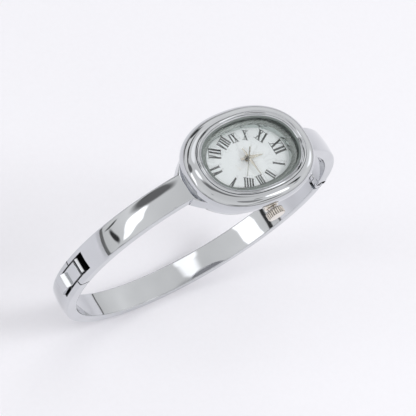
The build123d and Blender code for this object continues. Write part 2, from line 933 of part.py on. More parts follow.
def stroke(bottom, top, width):
    """Leaning bar, level at its foot and head."""
    half = width / 2
    corners = [
        (bottom[0] - half, bottom[1]),
        (bottom[0] + half, bottom[1]),
        (top[0] + half, top[1]),
        (top[0] - half, top[1]),
    ]
    return make_face(Polyline(*corners, close=True))


def serif(x, level, height, share):
    """Thin level bar across the end of a stroke."""
    up = 1 if level < 0 else -1
    half = share * height / 2
    edge = level + up * serif_share * height
    return stroke((x, min(level, edge)), (x, max(level, edge)), 2 * half)


def letter(mark, height, middle):
    """One capital I, V or X, centred on the line of the numeral."""
    thick, thin = thick_stroke_share * height, thin_stroke_share * height
    top, foot = height / 2, -height / 2
    half = letter_width_shares[mark] * height / 2
    lean = half - thick
    full_share = letter_width_shares[mark]
    side_share = full_share / 2
    if mark == "I":
        shape = stroke((middle, foot), (middle, top), thick)
        for end in (foot, top):
            shape += serif(middle, end, height, full_share)
        return shape
    if mark == "V":
        shape = stroke((middle, foot), (middle - lean, top), thick)
        shape += stroke((middle, foot), (middle + lean, top), thin)
        return shape + serif(middle - half / 2, top, height, side_share) + serif(
            middle + half / 2, top, height, side_share)
    shape = stroke((middle + lean, foot), (middle - lean, top), thick)
    shape += stroke((middle - lean, foot), (middle + lean, top), thin)
    for level in (foot, top):
        for side in (-1, 1):
            shape += serif(middle + side * half / 2, level, height, side_share)
    return shape


def numeral(marks, hour):
    bearing = radians(30 * hour)
    tallness = cos(bearing) ** 2
    height = numeral_short + (numeral_tall - numeral_short) * tallness
    width = sum(letter_width_shares[mark] for mark in marks) * height
    x = -width / 2
    shape = None
    for mark in marks:
        half = letter_width_shares[mark] * height / 2
        piece = letter(mark, height, x + half)
        shape = piece if shape is None else shape + piece
        x += 2 * half
    distance = 1 / sqrt((cos(bearing) / numeral_ring_length) ** 2
                        + (sin(bearing) / numeral_ring_width) ** 2)
    place = Pos(distance * cos(bearing), -distance * sin(bearing), dial_height)
    return place * Rot(0, 0, -30 * hour - 90) * extrude(shape, print_thickness)


def hour_numerals():
    names = "I II III IIII V VI VII VIII IX X XI XII".split()
    pieces = [numeral(name, hour) for hour, name in enumerate(names, start=1)]
    return Compound(children=[solid for piece in pieces for solid in piece.solids()])


# Assembly

def all_parts():
    ring = whole_ring()
    outer = case_outer()
    arm_low, arm_high = arm_six(ring), arm_twelve(ring)
    pin_low, pin_high = rivet(-1), rivet(1)
    link_low = end_link(-1, outer, arm_low, pin_low)
    link_high = end_link(1, outer, arm_high, pin_high)
    return {
        "case_body": case_body(outer, (arm_low, arm_high), (pin_low, pin_high)),
        "bezel": bezel(),
        "crystal": crystal(),
        "crystal_gasket": crystal_gasket(),
        "rehaut_ring": rehaut_ring(),
        "dial": dial(),
        "hour_numerals": hour_numerals(),
        "case_back": case_back(),
        "case_back_gasket": case_back_gasket(),
        "crown_tube": crown_tube(),
        "crown": crown(),
        "winding_stem": winding_stem(),
        "clutch_wheel": clutch_wheel(),
        "pull_piece": pull_piece(),
        "end_link_six": link_low,
        "end_link_twelve": link_high,
        "end_rivet_six": pin_low,
        "end_rivet_twelve": pin_high,
        "arm_six": arm_low,
        "arm_twelve": arm_high,
        "catch_bar": catch_bar(),
        "rear_half": rear_half(ring),
        "hinge_pin": hinge_pin(),
        "clasp_lever": clasp_lever(),
        "lever_pin": lever_pin(),
        "hour_hand": hour_hand(),
        "minute_hand": minute_hand(),
        "second_hand": second_hand(),
        "main_plate": main_plate(),
        "movement_ring": movement_ring(),
        "train_bridge": train_bridge(),
        "bridge_screw_left": bridge_screw(pillar_places[0]),
        "bridge_screw_right": bridge_screw(pillar_places[1]),
        "battery": battery(),
        "battery_strap": battery_strap(),
        "circuit_board": circuit_board(),
        "quartz_can": quartz_can(),
        "control_chip": control_chip(),
        "coil_core": coil_core(),
        "drive_coil": drive_coil(),
        "stator": stator(),
        "rotor": rotor(),
        "drive_wheel": drive_wheel(),
        "seconds_wheel": seconds_wheel(),
        "third_wheel": third_wheel(),
        "centre_wheel": centre_wheel(),
        "minute_wheel": minute_wheel(),
        "hour_wheel": hour_wheel(),
    }


os.makedirs("parts", exist_ok=True)
for name, shape in all_parts().items():
    export_step(shape, "parts/" + name + ".step")
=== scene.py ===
import json
import math

import bmesh
import bpy
from mathutils import Matrix, Vector


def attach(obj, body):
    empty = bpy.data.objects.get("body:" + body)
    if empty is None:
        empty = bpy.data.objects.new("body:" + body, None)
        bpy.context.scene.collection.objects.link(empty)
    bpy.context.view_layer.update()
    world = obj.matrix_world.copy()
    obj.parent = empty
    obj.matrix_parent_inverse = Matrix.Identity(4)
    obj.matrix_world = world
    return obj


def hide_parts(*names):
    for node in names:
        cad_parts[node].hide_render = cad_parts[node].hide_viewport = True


bl_info = {
    "name": "Bangle Watch",
    "version": (1, 0, 0),
    "blender": (4, 5, 0),
    "location": "3D View > Sidebar > Watch",
    "description": "Dresses the bangle watch: case, glass, dial, hands, crown, bangle and clasp",
    "category": "Object",
}

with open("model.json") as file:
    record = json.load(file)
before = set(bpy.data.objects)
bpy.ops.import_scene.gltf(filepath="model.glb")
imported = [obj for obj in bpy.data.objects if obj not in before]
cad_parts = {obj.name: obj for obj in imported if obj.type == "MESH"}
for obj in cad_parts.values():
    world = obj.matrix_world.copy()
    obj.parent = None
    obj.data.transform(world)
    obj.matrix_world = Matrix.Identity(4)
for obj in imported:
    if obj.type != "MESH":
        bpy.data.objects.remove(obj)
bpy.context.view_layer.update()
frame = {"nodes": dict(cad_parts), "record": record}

MM = 0.001


# Sizes and colours that a user may change. Lengths are written in millimetres and kept
# in metres.

def length(label, description, millimetres):
    return bpy.props.FloatProperty(
        name=label, description=description, default=millimetres * MM, unit="LENGTH",
        precision=5,
    )


def share(label, description, value):
    return bpy.props.FloatProperty(
        name=label, description=description, default=value, subtype="FACTOR",
        min=0.0, max=1.0,
    )


def degrees(label, description, value):
    return bpy.props.FloatProperty(
        name=label, description=description, default=math.radians(value), subtype="ANGLE",
        unit="ROTATION",
    )


def colour(label, description, code):
    return bpy.props.FloatVectorProperty(
        name=label, description=description, default=linear(code), subtype="COLOR",
        size=4, min=0.0, max=1.0,
    )


def linear(code):
    """Linear colour of an sRGB hex value such as "c0c4c8"."""
    channels = [int(code[place:place + 2], 16) / 255 for place in (0, 2, 4)]
    return tuple(
        c / 12.92 if c <= 0.04045 else ((c + 0.055) / 1.055) ** 2.4 for c in channels
    ) + (1.0,)


class BandSizes(bpy.types.PropertyGroup):
    """Oval ring that the arms and the rear half are cut from"""
    half_length: length("Half length", "Wrist centre to the outer face, towards twelve", 31.0)
    half_height: length("Half height", "Wrist centre to the outer face, downwards", 28.5)
    thickness: length("Thickness", "Thickness of the band", 2.4)
    half_width: length("Half width", "Half the band's width along the wrist", 2.7)
    crown: length("Crown", "How far the outer face swells over its edges", 0.22)
    outer_edge: length("Outer edge", "Radius of the outer edges", 0.34)
    inner_edge: length("Inner edge", "Radius of the inner edges", 0.25)
    slot_edge: length("Slot edge", "Radius of the edges of the clasp's slot", 0.07)
    link_face: length("Link face", "Where an arm meets its end link, from the middle", 13.85)
    link_length: length("Link length", "Length of an end link, in under the case", 4.5)
    link_flare: length("Link flare", "How much wider a link grows to each side", 3.8)
    link_curve: share("Link curve", "How much of that comes early along the link", 0.55)
    link_drop: length("Link drop", "Depth of a link's face under the arm's", 0.25)
    link_crown: length("Link crown", "How far a link's face swells over its edges", 0.12)
    link_dish: length("Link dish", "How far a link's face sinks as it widens", 0.45)
    link_edge: length("Link edge", "Radius of a link's edges", 0.1)


class CaseSizes(bpy.types.PropertyGroup):
    """Ovals and heights of the case, the bezel and the glass"""
    half_length: length("Half length", "Half the case at its rim, towards twelve", 13.9)
    half_width: length("Half width", "Half the case at its rim, towards three", 10.0)
    glass_half_length: length("Glass half length", "Half the glass, towards twelve", 10.2)
    glass_half_width: length("Glass half width", "Half the glass, towards three", 6.8)
    cavity_half_length: length("Cavity half length", "Half the inside of the case", 11.15)
    cavity_half_width: length("Cavity half width", "Half the inside, towards three", 7.6)
    dial_height: length("Dial height", "Wrist centre to the dial's top face", 26.4)
    rim_rise: length("Rim rise", "Dial to the top of the widest rim", 0.6)
    rim_height: length("Rim height", "Height of the rim's upright edge", 0.45)
    dome_rise: length("Dome rise", "Dial to the top of the rounded shoulder", 2.45)
    ridge_rise: length("Ridge rise", "Dial to the bezel's ridge", 2.75)
    lip_rise: length("Lip rise", "Dial to the bezel's lip at the glass", 2.4)
    seat_drop: length("Seat drop", "Lip down to the seat under the bezel", 1.35)
    groove: length("Groove", "Depth of the groove outside the bezel", 0.16)
    glass_rise: length("Glass rise", "Dial to the underside of the glass", 1.55)
    glass_thickness: length("Glass thickness", "Thickness of the glass", 0.75)
    glass_chamfer: length("Glass chamfer", "Chamfer round the top of the glass", 0.2)
    gasket: length("Gasket", "Width of the gasket round the glass", 0.25)
    bead: length("Bead", "Width of the bezel's bead beside the gasket", 0.24)
    bead_groove: length("Bead groove", "Width and depth of the groove outside the bead", 0.09)
    back_drop: length("Back drop", "Dial down to the case back's joint", 3.7)
    flank_top: length("Flank top", "Tuck of the flank just under the rim", 0.5)
    flank_middle: length("Flank middle", "Tuck of the flank at its knuckle", 0.8)
    flank_low: length("Flank low", "Tuck of the flank at the case back", 1.4)
    flank_drop: length("Flank drop", "Rim down to the flank's knuckle", 1.9)
    bezel_share: share("Bezel share", "Bezel's edge between the glass and the rim", 0.38)
    bezel_gap: share("Bezel gap", "Gap outside the bezel, in the same measure", 0.008)
    ridge_share: share("Ridge share", "Bezel's ridge between the glass and the rim", 0.27)
    swell_share: share("Swell share", "Outward swell of the bezel's slope", 0.02)
    swell_rise: length("Swell rise", "Upward swell of the bezel's slope", 0.08)
    bead_share: share("Bead share", "Bead's height between the lip and the ridge", 0.35)
    bead_crest: length("Bead crest", "Height of the bead's crest over its edges", 0.03)
    fit_gap: length("Fit gap", "Gap round the glass and the grey ring", 0.04)
    edge: length("Edge", "Radius of the case's edges", 0.05)
    fine_edge: length("Fine edge", "Radius of the bezel's and the glass's edges", 0.03)
    foot_half_length: length("Foot half length", "Half the grey ring's wall at the dial", 9.05)
    foot_half_width: length("Foot half width", "The same, towards three", 5.95)
    wall_height: length("Wall height", "Height of the grey ring's upright wall", 1.2)


class ClaspSizes(bpy.types.PropertyGroup):
    """Clasp lever and the slot that it lies in"""
    slot_half_width: length("Slot half width", "Half the slot's width", 1.75)
    slot_top: length("Slot top", "Top end of the slot, over the wrist's centre", 8.3)
    slot_depth: length("Slot depth", "Depth of the slot in the arm", 1.9)
    arm_end: length("Arm end", "Where the arm stops and the rear half starts", 3.8)
    joint_gap: length("Joint gap", "Gap between the arm and the rear half", 0.3)
    channel_end: length("Channel end", "Lower end of the lever's channel", -2.9)
    lever_half_width: length("Lever half width", "Half the lever's width", 1.45)
    lever_tip: length("Lever tip", "Free end of the lever, over the wrist's centre", 6.7)
    lever_thickness: length("Lever thickness", "Thickness of the lever's plate", 0.9)
    lever_edge: length("Lever edge", "Radius of the lever's edges", 0.09)
    lever_low: length("Lever low", "Where the lever's inner face meets its barrel", -0.5)
    lobe_top: length("Lobe top", "Where the lever's outer face leaves its lobe", 0.5)
    pivot_length: length("Pivot place", "Wrist centre to the lever's pin", -30.0)
    pivot_height: length("Pivot height", "Height of the lever's pin", -0.5)
    pin_radius: length("Pin radius", "Radius of the lever's pin", 0.43)
    lobe_radius: length("Lobe radius", "Radius of the lever's outer lobe", 2.2)
    barrel_radius: length("Barrel radius", "Radius of the lever's inner barrel", 1.05)
    step_height: length("Step height", "Height of the lever's cross step", 1.5)
    step_rise: length("Step rise", "How far the lower part stands proud", 1.0)
    step_slope: length("Step slope", "Drop of the cross step to its outer edge", 0.3)
    ridge_rise: length("Ridge rise", "How far the free end's ridge stands proud", 0.3)
    ridge_length: length("Ridge length", "Length of the ridge", 0.4)
    groove_width: length("Groove width", "Width of the groove under the ridge", 0.9)
    groove_depth: length("Groove depth", "Depth of the groove under the ridge", 0.28)


class HingeSizes(bpy.types.PropertyGroup):
    """Knuckles of the hinge at twelve o'clock"""
    height: length("Height", "Height of the hinge pin", 2.0)
    pin_radius: length("Pin radius", "Radius of the hinge pin", 0.45)
    radius: length("Radius", "Radius of the knuckles", 1.3)
    knuckle_edge: length("Knuckle edge", "Radius of the knuckles' edges", 0.08)
    middle_width: length("Middle width", "Width of the middle knuckle", 2.3)
    side_gap: length("Side gap", "Gap between the knuckles", 0.08)
    leaf_gap: length("Leaf gap", "Leaf's end to the pin's middle", 1.42)


class CrownSizes(bpy.types.PropertyGroup):
    """Fluted crown at three o'clock"""
    radius: length("Radius", "Radius over the flutes", 1.745)
    face: length("Face", "Dial centre to the crown's inner face", 10.39)
    length: length("Length", "Length of the crown", 1.4)
    neck_radius: length("Neck radius", "Radius of the crown's neck", 1.05)
    neck: length("Neck", "Length of the neck", 0.5)
    height: length("Height", "Height of the crown's axis", 24.6)
    edge: length("Edge", "Radius of the crown's edges", 0.2)
    flute_depth: length("Flute depth", "Depth of the flutes", 0.13)
    flutes: bpy.props.IntProperty(
        name="Flutes", description="Number of flutes round the crown", default=24, min=8)
    tube_radius: length("Tube radius", "Radius of the tube's flange", 1.4)
    tube_bore: length("Tube bore", "Radius of the tube's bore", 0.5)
    tube_edge: length("Tube edge", "Radius of the flange's edge", 0.06)
    tube_sunk: length("Tube sunk", "Length of the tube inside the case", 0.6)
    tube_seat: length("Tube seat", "Dial centre to the seat of the flange", 9.3)
    tube_length: length("Tube length", "Length of the flange", 0.55)


class HandSizes(bpy.types.PropertyGroup):
    """Hands, and the time that they show"""
    hour_length: length("Hour length", "Length of the hour hand", 3.4)
    hour_width: length("Hour width", "Width of the hour hand at its shoulder", 0.76)
    hour_tail: length("Hour tail", "Tail of the hour hand", 1.6)
    hour_rise: length("Hour rise", "Dial to the hour hand", 0.4)
    minute_length: length("Minute length", "Length of the minute hand", 4.2)
    minute_width: length("Minute width", "Width of the minute hand at its shoulder", 0.56)
    minute_tail: length("Minute tail", "Tail of the minute hand", 2.0)
    minute_rise: length("Minute rise", "Dial to the minute hand", 0.72)
    second_length: length("Second length", "Length of the seconds hand", 4.45)
    second_width: length("Second width", "Width of the seconds hand's needle", 0.12)
    second_tail: length("Second tail", "Tail of the seconds hand", 2.1)
    second_tail_width: length("Tail width", "Width of the seconds hand's tail", 0.26)
    second_tail_start: length("Tail start", "Where that tail starts, from the middle", 0.3)
    second_rise: length("Second rise", "Dial to the seconds hand", 1.02)
    shoulder: share("Shoulder", "Where a tapered hand is widest", 0.26)
    tip: share("Tip", "Width of a tapered hand's tip", 0.14)
    tail_end: share("Tail end", "Width of a tapered hand's tail end", 0.55)
    blade: length("Blade", "Thickness of a hand's blade", 0.1)
    hub: length("Hub", "Height of a hand's hub", 0.22)
    hub_edge: length("Hub edge", "Radius of a hub's edge", 0.05)
    hour_hub: length("Hour hub", "Radius of the hour hand's hub", 0.66)
    minute_hub: length("Minute hub", "Radius of the minute hand's hub", 0.48)
    second_hub: length("Second hub", "Radius of the seconds hand's hub", 0.29)
    minutes: bpy.props.FloatProperty(
        name="Minutes", description="Minutes past twelve that the hands show",
        default=14 + 21.5 / 60)


class Finishes(bpy.types.PropertyGroup):
    """Colours of the finishes"""
    chrome: colour("Chrome", "Polished plating of the case and bangle", "d2d4d7")
    crown: colour("Crown", "Plating of the crown, slightly warm", "e6dfd6")
    hands: colour("Hands", "Champagne plating of the hands", "dbd6c9")
    dial: colour("Dial", "White lacquer of the dial", "eaeef0")
    print: colour("Print", "Ink of the numerals", "0e0f12")
    ring: colour("Ring", "Grey-green ring round the dial", "c2cac7")
    floor: colour("Floor", "Floor under the watch", "f6f5fa")


class StageSettings(bpy.types.PropertyGroup):
    """Camera, lamps and floor"""
    azimuth: degrees("Azimuth", "Camera's bearing round the watch", -64.73)
    elevation: degrees("Elevation", "Camera's height over the horizon", 53.32)
    roll: degrees("Roll", "Turn of the camera about its own line of sight", 36.67)
    distance: length("Distance", "Camera to the point it looks at", 304.75)
    aim: bpy.props.FloatVectorProperty(
        name="Aim", description="Point in the middle of the picture", subtype="XYZ",
        unit="LENGTH", default=(-8.44 * MM, -3.59 * MM, 19.58 * MM))
    lens: bpy.props.FloatProperty(
        name="Lens", description="Focal length on a 36 mm sensor, in millimetres",
        default=144.7)
    floor_gap: length("Floor gap", "Gap between the bangle and the floor", 0.05)
    floor_size: length("Floor size", "Side of the floor", 3000.0)


GROUPS = {
    "watch_band": BandSizes,
    "watch_case": CaseSizes,
    "watch_clasp": ClaspSizes,
    "watch_hinge": HingeSizes,
    "watch_crown": CrownSizes,
    "watch_hands": HandSizes,
    "watch_finishes": Finishes,
    "watch_stage": StageSettings,
}


def sizes(group):
    return getattr(bpy.context.scene, "watch_" + group)


# Mesh making

WELD = 1e-7  # corners nearer than this become one


def in_order(mesh):
    """Numbers a mesh's parts by place, so that every run numbers them alike."""
    for part in (mesh.verts, mesh.edges, mesh.faces):
        by_place = sorted(part, key=lambda item: sorted(
            vert.co.to_tuple() for vert in getattr(item, "verts", [item])))
        numbers = {item: number for number, item in enumerate(by_place)}
        part.sort(key=numbers.get)


def sweep(points, stations, place, capped=True):
    """Carries a loop of points through stations. place(station, point) says where each goes.

    An uncapped sweep that ends at its first station is closed into a ring.
    """
    mesh = bmesh.new()
    verts = bmesh.ops.create_circle(mesh, segments=points, radius=1.0)["verts"]
    for point, vert in enumerate(verts):
        vert.co = place(stations[0], point)
    first = edges = mesh.edges[:]
    for station in stations[1:]:
        found = {vert.co.to_tuple(): point for point, vert in enumerate(verts)}
        made = bmesh.ops.extrude_edge_only(mesh, edges=edges)["geom"]
        new = [item for item in made if isinstance(item, bmesh.types.BMVert)]
        verts = sorted(new, key=lambda vert: found[vert.co.to_tuple()])
        fresh = set(verts)
        edges = [item for item in made
                 if isinstance(item, bmesh.types.BMEdge) and fresh.issuperset(item.verts)]
        for point, vert in enumerate(verts):
            vert.co = place(station, point)
    if capped:
        bmesh.ops.contextual_create(mesh, geom=first)
        bmesh.ops.contextual_create(mesh, geom=edges)
    bmesh.ops.remove_doubles(mesh, verts=mesh.verts, dist=WELD)
    bmesh.ops.recalc_face_normals(mesh, faces=mesh.faces)
    in_order(mesh)
    return mesh


def soften(mesh, radius, limit=math.radians(35), segments=2):
    """Rounds every edge that turns more than the limit."""
    edges = [edge for edge in mesh.edges if edge.calc_face_angle(0) > limit]
    bmesh.ops.bevel(mesh, geom=edges, offset=radius, offset_type="OFFSET", affect="EDGES",
                    segments=segments, profile=0.5, material=-1, clamp_overlap=True)
    in_order(mesh)


def joined(*meshes):
    """One mesh of several."""
    whole = meshes[0]
    for other in meshes[1:]:
        shape = bpy.data.meshes.new("part")
        other.to_mesh(shape)
        whole.from_mesh(shape)
        bpy.data.meshes.remove(shape)
        other.free()
    return whole


def piece(name, mesh, body, slot, solid, sharp=math.radians(50)):
    """Finished object of a mesh, riding on its body in place of its solid."""
    for face in mesh.faces:
        face.smooth = True
    for edge in mesh.edges:
        edge.smooth = edge.calc_face_angle(0) < sharp
    shape = bpy.data.meshes.new(name)
    mesh.to_mesh(shape)
    mesh.free()
    item = bpy.data.objects.new(name, shape)
    bpy.context.scene.collection.objects.link(item)
    shape.materials.append(finish(slot))
    item.modifiers.new("even shading", "WEIGHTED_NORMAL").keep_sharp = True
    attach(item, body)
    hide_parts(solid)
    return item


# Part of a face's normal along a direction, for a face that looks straight that way,
# roughly that way, or across it
STRAIGHT, ROUGHLY, ACROSS = 0.9, 0.5, 0.3


def refinish(item, slot, inside):
    """Gives another finish to the faces that pass a test of their middle and normal."""
    item.data.materials.append(finish(slot))
    for face in item.data.polygons:
        if inside(face.center, face.normal):
            face.material_index = 1


def corner(centre, radius, start, end, steps):
    """Points round part of a circle, in degrees."""
    turns = [math.radians(start + (end - start) * step / steps) for step in range(steps + 1)]
    return [(centre[0] + radius * math.cos(turn), centre[1] + radius * math.sin(turn))
            for turn in turns]


def tube(outer, inner, low, high, centre, edge, steps=40):
    """Barrel along Y with a bore, from low to high."""
    profile = [(outer - edge, low), (outer, low + edge), (outer, high - edge),
               (outer - edge, high), (inner, high), (inner, low)]

    def place(station, point):
        radius, y = profile[station % len(profile)]
        turn = math.tau * point / steps
        return Vector((centre[0] + radius * math.cos(turn), y,
                       centre[1] + radius * math.sin(turn)))

    return sweep(steps, list(range(len(profile) + 1)), place, capped=False)


# Finishes

def node(tree, kind, inputs=None, **settings):
    """Adds a node with its settings. An input is a value or another node's output."""
    made = tree.nodes.new(kind)
    for name, value in settings.items():
        setattr(made, name, value)
    for name, value in (inputs or {}).items():
        if isinstance(value, bpy.types.NodeSocket):
            tree.links.new(value, made.inputs[name])
        else:
            made.inputs[name].default_value = value
    return made


def new_material(name):
    material = bpy.data.materials.new(name)
    material.use_nodes = True
    tree = material.node_tree
    shader = tree.nodes["Principled BSDF"]
    place = node(tree, "ShaderNodeTexCoord").outputs["Object"]
    return material, tree, shader, place


def grains(tree, place, size, stretch=(1, 1, 1), detail=2.0):
    """Noise whose grains are about one size across, in metres."""
    mapping = node(tree, "ShaderNodeMapping", {"Vector": place, "Scale": stretch})
    return node(tree, "ShaderNodeTexNoise", {
        "Vector": mapping.outputs["Vector"], "Scale": 1 / size, "Detail": detail,
    }).outputs["Fac"]


def darker(base, factor):
    return tuple(channel * factor for channel in base[:3]) + (1.0,)


# Values of a noise between which nearly all its grains lie
NOISE_LOW, NOISE_HIGH = 0.3, 0.7
METAL = {"Metallic": 1.0}


def dress(tree, shader, colour, gloss=None, relief=None, plain=None):
    """Leads a shader's colour, gloss and relief by patterns.

    colour is a pattern and two tones, gloss a pattern with the least and the greatest
    roughness, and relief a pattern with its strength and depth. plain sets other sockets.
    """
    ramp = node(tree, "ShaderNodeValToRGB", {"Fac": colour[0]})
    stops = zip(ramp.color_ramp.elements, (NOISE_LOW, NOISE_HIGH), colour[1:])
    for stop, position, tone in stops:
        stop.position, stop.color = position, tone
    tree.links.new(ramp.outputs["Color"], shader.inputs["Base Color"])
    if gloss:
        pattern, smooth, rough = gloss
        roughness = node(tree, "ShaderNodeMapRange", {
            "Value": pattern, "From Min": NOISE_LOW, "From Max": NOISE_HIGH,
            "To Min": smooth, "To Max": rough})
        tree.links.new(roughness.outputs["Result"], shader.inputs["Roughness"])
    if relief:
        pattern, strength, depth = relief
        bump = node(tree, "ShaderNodeBump",
                    {"Height": pattern, "Strength": strength, "Distance": depth})
        tree.links.new(bump.outputs["Normal"], shader.inputs["Normal"])
    for name, value in (plain or {}).items():
        shader.inputs[name].default_value = value


def polished_plating(name, base, roughness):
    """Chrome plating buffed to a mirror: soft waves from buffing, faint wipe marks."""
    material, tree, shader, place = new_material(name)
    waves = grains(tree, place, 6 * MM, detail=1.0)
    wipes = grains(tree, place, 0.5 * MM, stretch=(1.0, 0.25, 1.0), detail=3.0)
    dress(tree, shader, (waves, darker(base, 0.93), base),
          (wipes, roughness * 0.7, roughness * 1.6), (waves, 0.06, 0.05 * MM), METAL)
    return material


def fluted_plating(base):
    """Warm chrome plating over milled flutes: bright crests, and rougher valleys darkened with
    painted shade.
    """
    crown = sizes("crown")
    material, tree, shader, place = new_material("plated_milled_flutes")
    # Distance from the crown's axis, which lies along Y
    centred = node(tree, "ShaderNodeVectorMath", {0: place, 1: (0.0, 0.0, crown.height)},
                   operation="SUBTRACT")
    across = node(tree, "ShaderNodeVectorMath",
                  {0: centred.outputs["Vector"], 1: (1.0, 0.0, 1.0)}, operation="MULTIPLY")
    radius = node(tree, "ShaderNodeVectorMath", {0: across.outputs["Vector"]},
                  operation="LENGTH").outputs["Value"]
    along = node(tree, "ShaderNodeSeparateXYZ", {"Vector": place}).outputs["Y"]
    wear = grains(tree, place, 0.3 * MM)
    end = crown.face + crown.length
    # Each row has a value, its least and greatest, and what those two give
    crest, knurled, face, patches = (
        node(tree, "ShaderNodeMapRange", {
            "Value": value, "From Min": low, "From Max": high, "To Min": first,
            "To Max": last}).outputs["Result"]
        for value, low, high, first, last in (
            (radius, crown.radius - crown.flute_depth,
             crown.radius - 0.2 * crown.flute_depth, 0.0, 1.0),
            (along, -crown.face - 0.1 * MM, -crown.face, 1.0, 0.0),
            (along, -end, -end + 0.12 * MM, 1.0, 0.0),
            (wear, NOISE_LOW, NOISE_HIGH, 0.8, 1.2)))
    neck = node(tree, "ShaderNodeMath", {0: 1.0, 1: knurled}, operation="SUBTRACT")
    flat = node(tree, "ShaderNodeMath", {0: neck.outputs["Value"], 1: face},
                operation="MAXIMUM")
    polished_unshaded = node(tree, "ShaderNodeMath", {0: crest, 1: flat.outputs["Value"]},
                  operation="MAXIMUM").outputs["Value"]
    dull = node(tree, "ShaderNodeMapRange", {"Value": polished_unshaded, "To Min": 0.4, "To Max": 0.1})
    rough = node(tree, "ShaderNodeMath", {0: dull.outputs["Result"], 1: patches},
                 operation="MULTIPLY")
    tree.links.new(rough.outputs["Value"], shader.inputs["Roughness"])
    # Painted shade: the flute valleys are coloured far darker than the crests and the flat faces
    dress(tree, shader, (polished_unshaded, darker(base, 0.22), base), plain=METAL)
    return material


def satin_metal(name, base, roughness, grain=0.12 * MM):
    """Steel or brass with a fine drawn grain, which dulls its reflections along one way."""
    material, tree, shader, place = new_material(name)
    lines = grains(tree, place, grain, stretch=(0.08, 1.0, 1.0), detail=4.0)
    dress(tree, shader, (lines, darker(base, 0.78), base),
          (lines, roughness * 0.75, roughness * 1.3), (lines, 0.25, 0.01 * MM), METAL)
    return material


def moulded_plastic(name, base, roughness):
    """Injection-moulded plastic: a faint pebble from the mould, a little gloss."""
    material, tree, shader, place = new_material(name)
    pebble = grains(tree, place, 0.15 * MM)
    clouds = grains(tree, place, 2.5 * MM)
    dress(tree, shader, (clouds, darker(base, 0.85), base),
          (pebble, roughness * 0.85, roughness * 1.2), (pebble, 0.2, 0.01 * MM))
    return material


def lacquered_dial(base):
    """White lacquer on brass, rubbed flat: silky, with a barely mottled white."""
    material, tree, shader, place = new_material("white_lacquer")
    mottle = grains(tree, place, 3 * MM)
    tooth = grains(tree, place, 0.08 * MM, detail=3.0)
    dress(tree, shader, (mottle, darker(base, 0.965), base), (tooth, 0.38, 0.52),
          (tooth, 0.15, 0.004 * MM), {"Coat Weight": 0.15})
    return material


def printed_ink(base):
    """Pad-printed black ink: thin, slightly raised, a little patchy under a loupe."""
    material, tree, shader, place = new_material("pad_printed_ink")
    patches = grains(tree, place, 0.25 * MM)
    dress(tree, shader, (patches, base, darker(base, 1.9)), (patches, 0.42, 0.6))
    return material


def mineral_glass():
    """Ground and polished mineral glass: clear, with a faint smear that shows in its gloss.

    Most light passes straight through so thin a pane, which its low alpha gives.
    """
    material, tree, shader, place = new_material("polished_mineral_glass")
    smear = grains(tree, place, 5 * MM, stretch=(1.0, 0.4, 1.0))
    dress(tree, shader, (smear, linear("f4fbf8"), linear("ffffff")), (smear, 0.0, 0.03),
          plain={"IOR": 1.5, "Transmission Weight": 1.0, "Alpha": 0.12})
    return material


def wound_copper():
    """Enamelled copper wire in close turns: painted highlights on the ridges, and painted shade
    of a deep orange-brown between them.
    """
    material, tree, shader, place = new_material("enamelled_copper_wire")
    wire, bands_per_scale = 0.16 * MM, 6.3
    turns = node(tree, "ShaderNodeTexWave",
                 {"Vector": place, "Scale": 1 / wire / bands_per_scale, "Distortion": 0.3},
                 bands_direction="Y").outputs["Fac"]
    # Painted highlight on each turn's ridge and painted shade between the turns
    dress(tree, shader, (turns, linear("6b2c12"), linear("d98a55")), (turns, 0.2, 0.4),
          (turns, 0.5, 0.02 * MM), METAL)
    return material


def floor_paper():
    """Matt photographic paper: an even pale sheet with a very fine tooth."""
    material, tree, shader, place = new_material("pale_paper")
    tone = tuple(sizes("finishes").floor)
    fibres = grains(tree, place, 0.8 * MM, detail=4.0)
    dress(tree, shader, (fibres, darker(tone, 0.985), tone), (fibres, 0.75, 0.9))
    return material


def make_finishes():
    """Every finish, by the record's slot, and two that only some faces of a piece have."""
    tones = sizes("finishes")
    chrome = polished_plating("polished_chrome_plating", tuple(tones.chrome), 0.035)
    return {
        "polished_chrome": chrome,
        "crown_chrome": fluted_plating(tuple(tones.crown)),
        "brushed_back": satin_metal("brushed_stainless_steel", linear("b4b4b6"), 0.3),
        "steel_pin": satin_metal("ground_steel", linear("a9aaac"), 0.25),
        "mineral_glass": mineral_glass(),
        "nylon_gasket": moulded_plastic("moulded_nylon", linear("79817f"), 0.45),
        "grey_rehaut": polished_plating("polished_grey_plating", tuple(tones.ring), 0.09),
        "white_dial": lacquered_dial(tuple(tones.dial)),
        "black_print": printed_ink(tuple(tones.print)),
        "rubber_seal": moulded_plastic("moulded_rubber", linear("202022"), 0.7),
        "champagne_hands": satin_metal("champagne_plating", tuple(tones.hands), 0.16,
                                       grain=0.1 * MM),
        "movement_plastic": moulded_plastic("moulded_dark_polymer", linear("2b2c2f"), 0.4),
        "holder_plastic": moulded_plastic("moulded_pale_polymer", linear("d8d6cf"), 0.5),
        "bridge_steel": satin_metal("rolled_steel", linear("b9b9ba"), 0.28),
        "cell_steel": satin_metal("drawn_nickel_steel", linear("c3c2bf"), 0.22),
        "board_green": moulded_plastic("solder_mask", linear("1f5a2e"), 0.35),
        "chip_black": moulded_plastic("moulded_epoxy", linear("17171a"), 0.55),
        "copper_wire": wound_copper(),
        "rotor_magnet": satin_metal("sintered_magnet", linear("6f7076"), 0.4),
        "wheel_brass": satin_metal("stamped_brass", linear("cda95a"), 0.25),
        # Painted shade: a dark steel for faces in the clasp's slot and channel, the lever's
        # groove and round the hands' hubs
        "painted_shade": satin_metal("unpolished_steel_painted_shade", linear("44464a"), 0.45),
        "satin_slope": satin_metal("satin_grey_plating", darker(tuple(tones.ring), 0.55), 0.3),
    }


made_finishes = {}


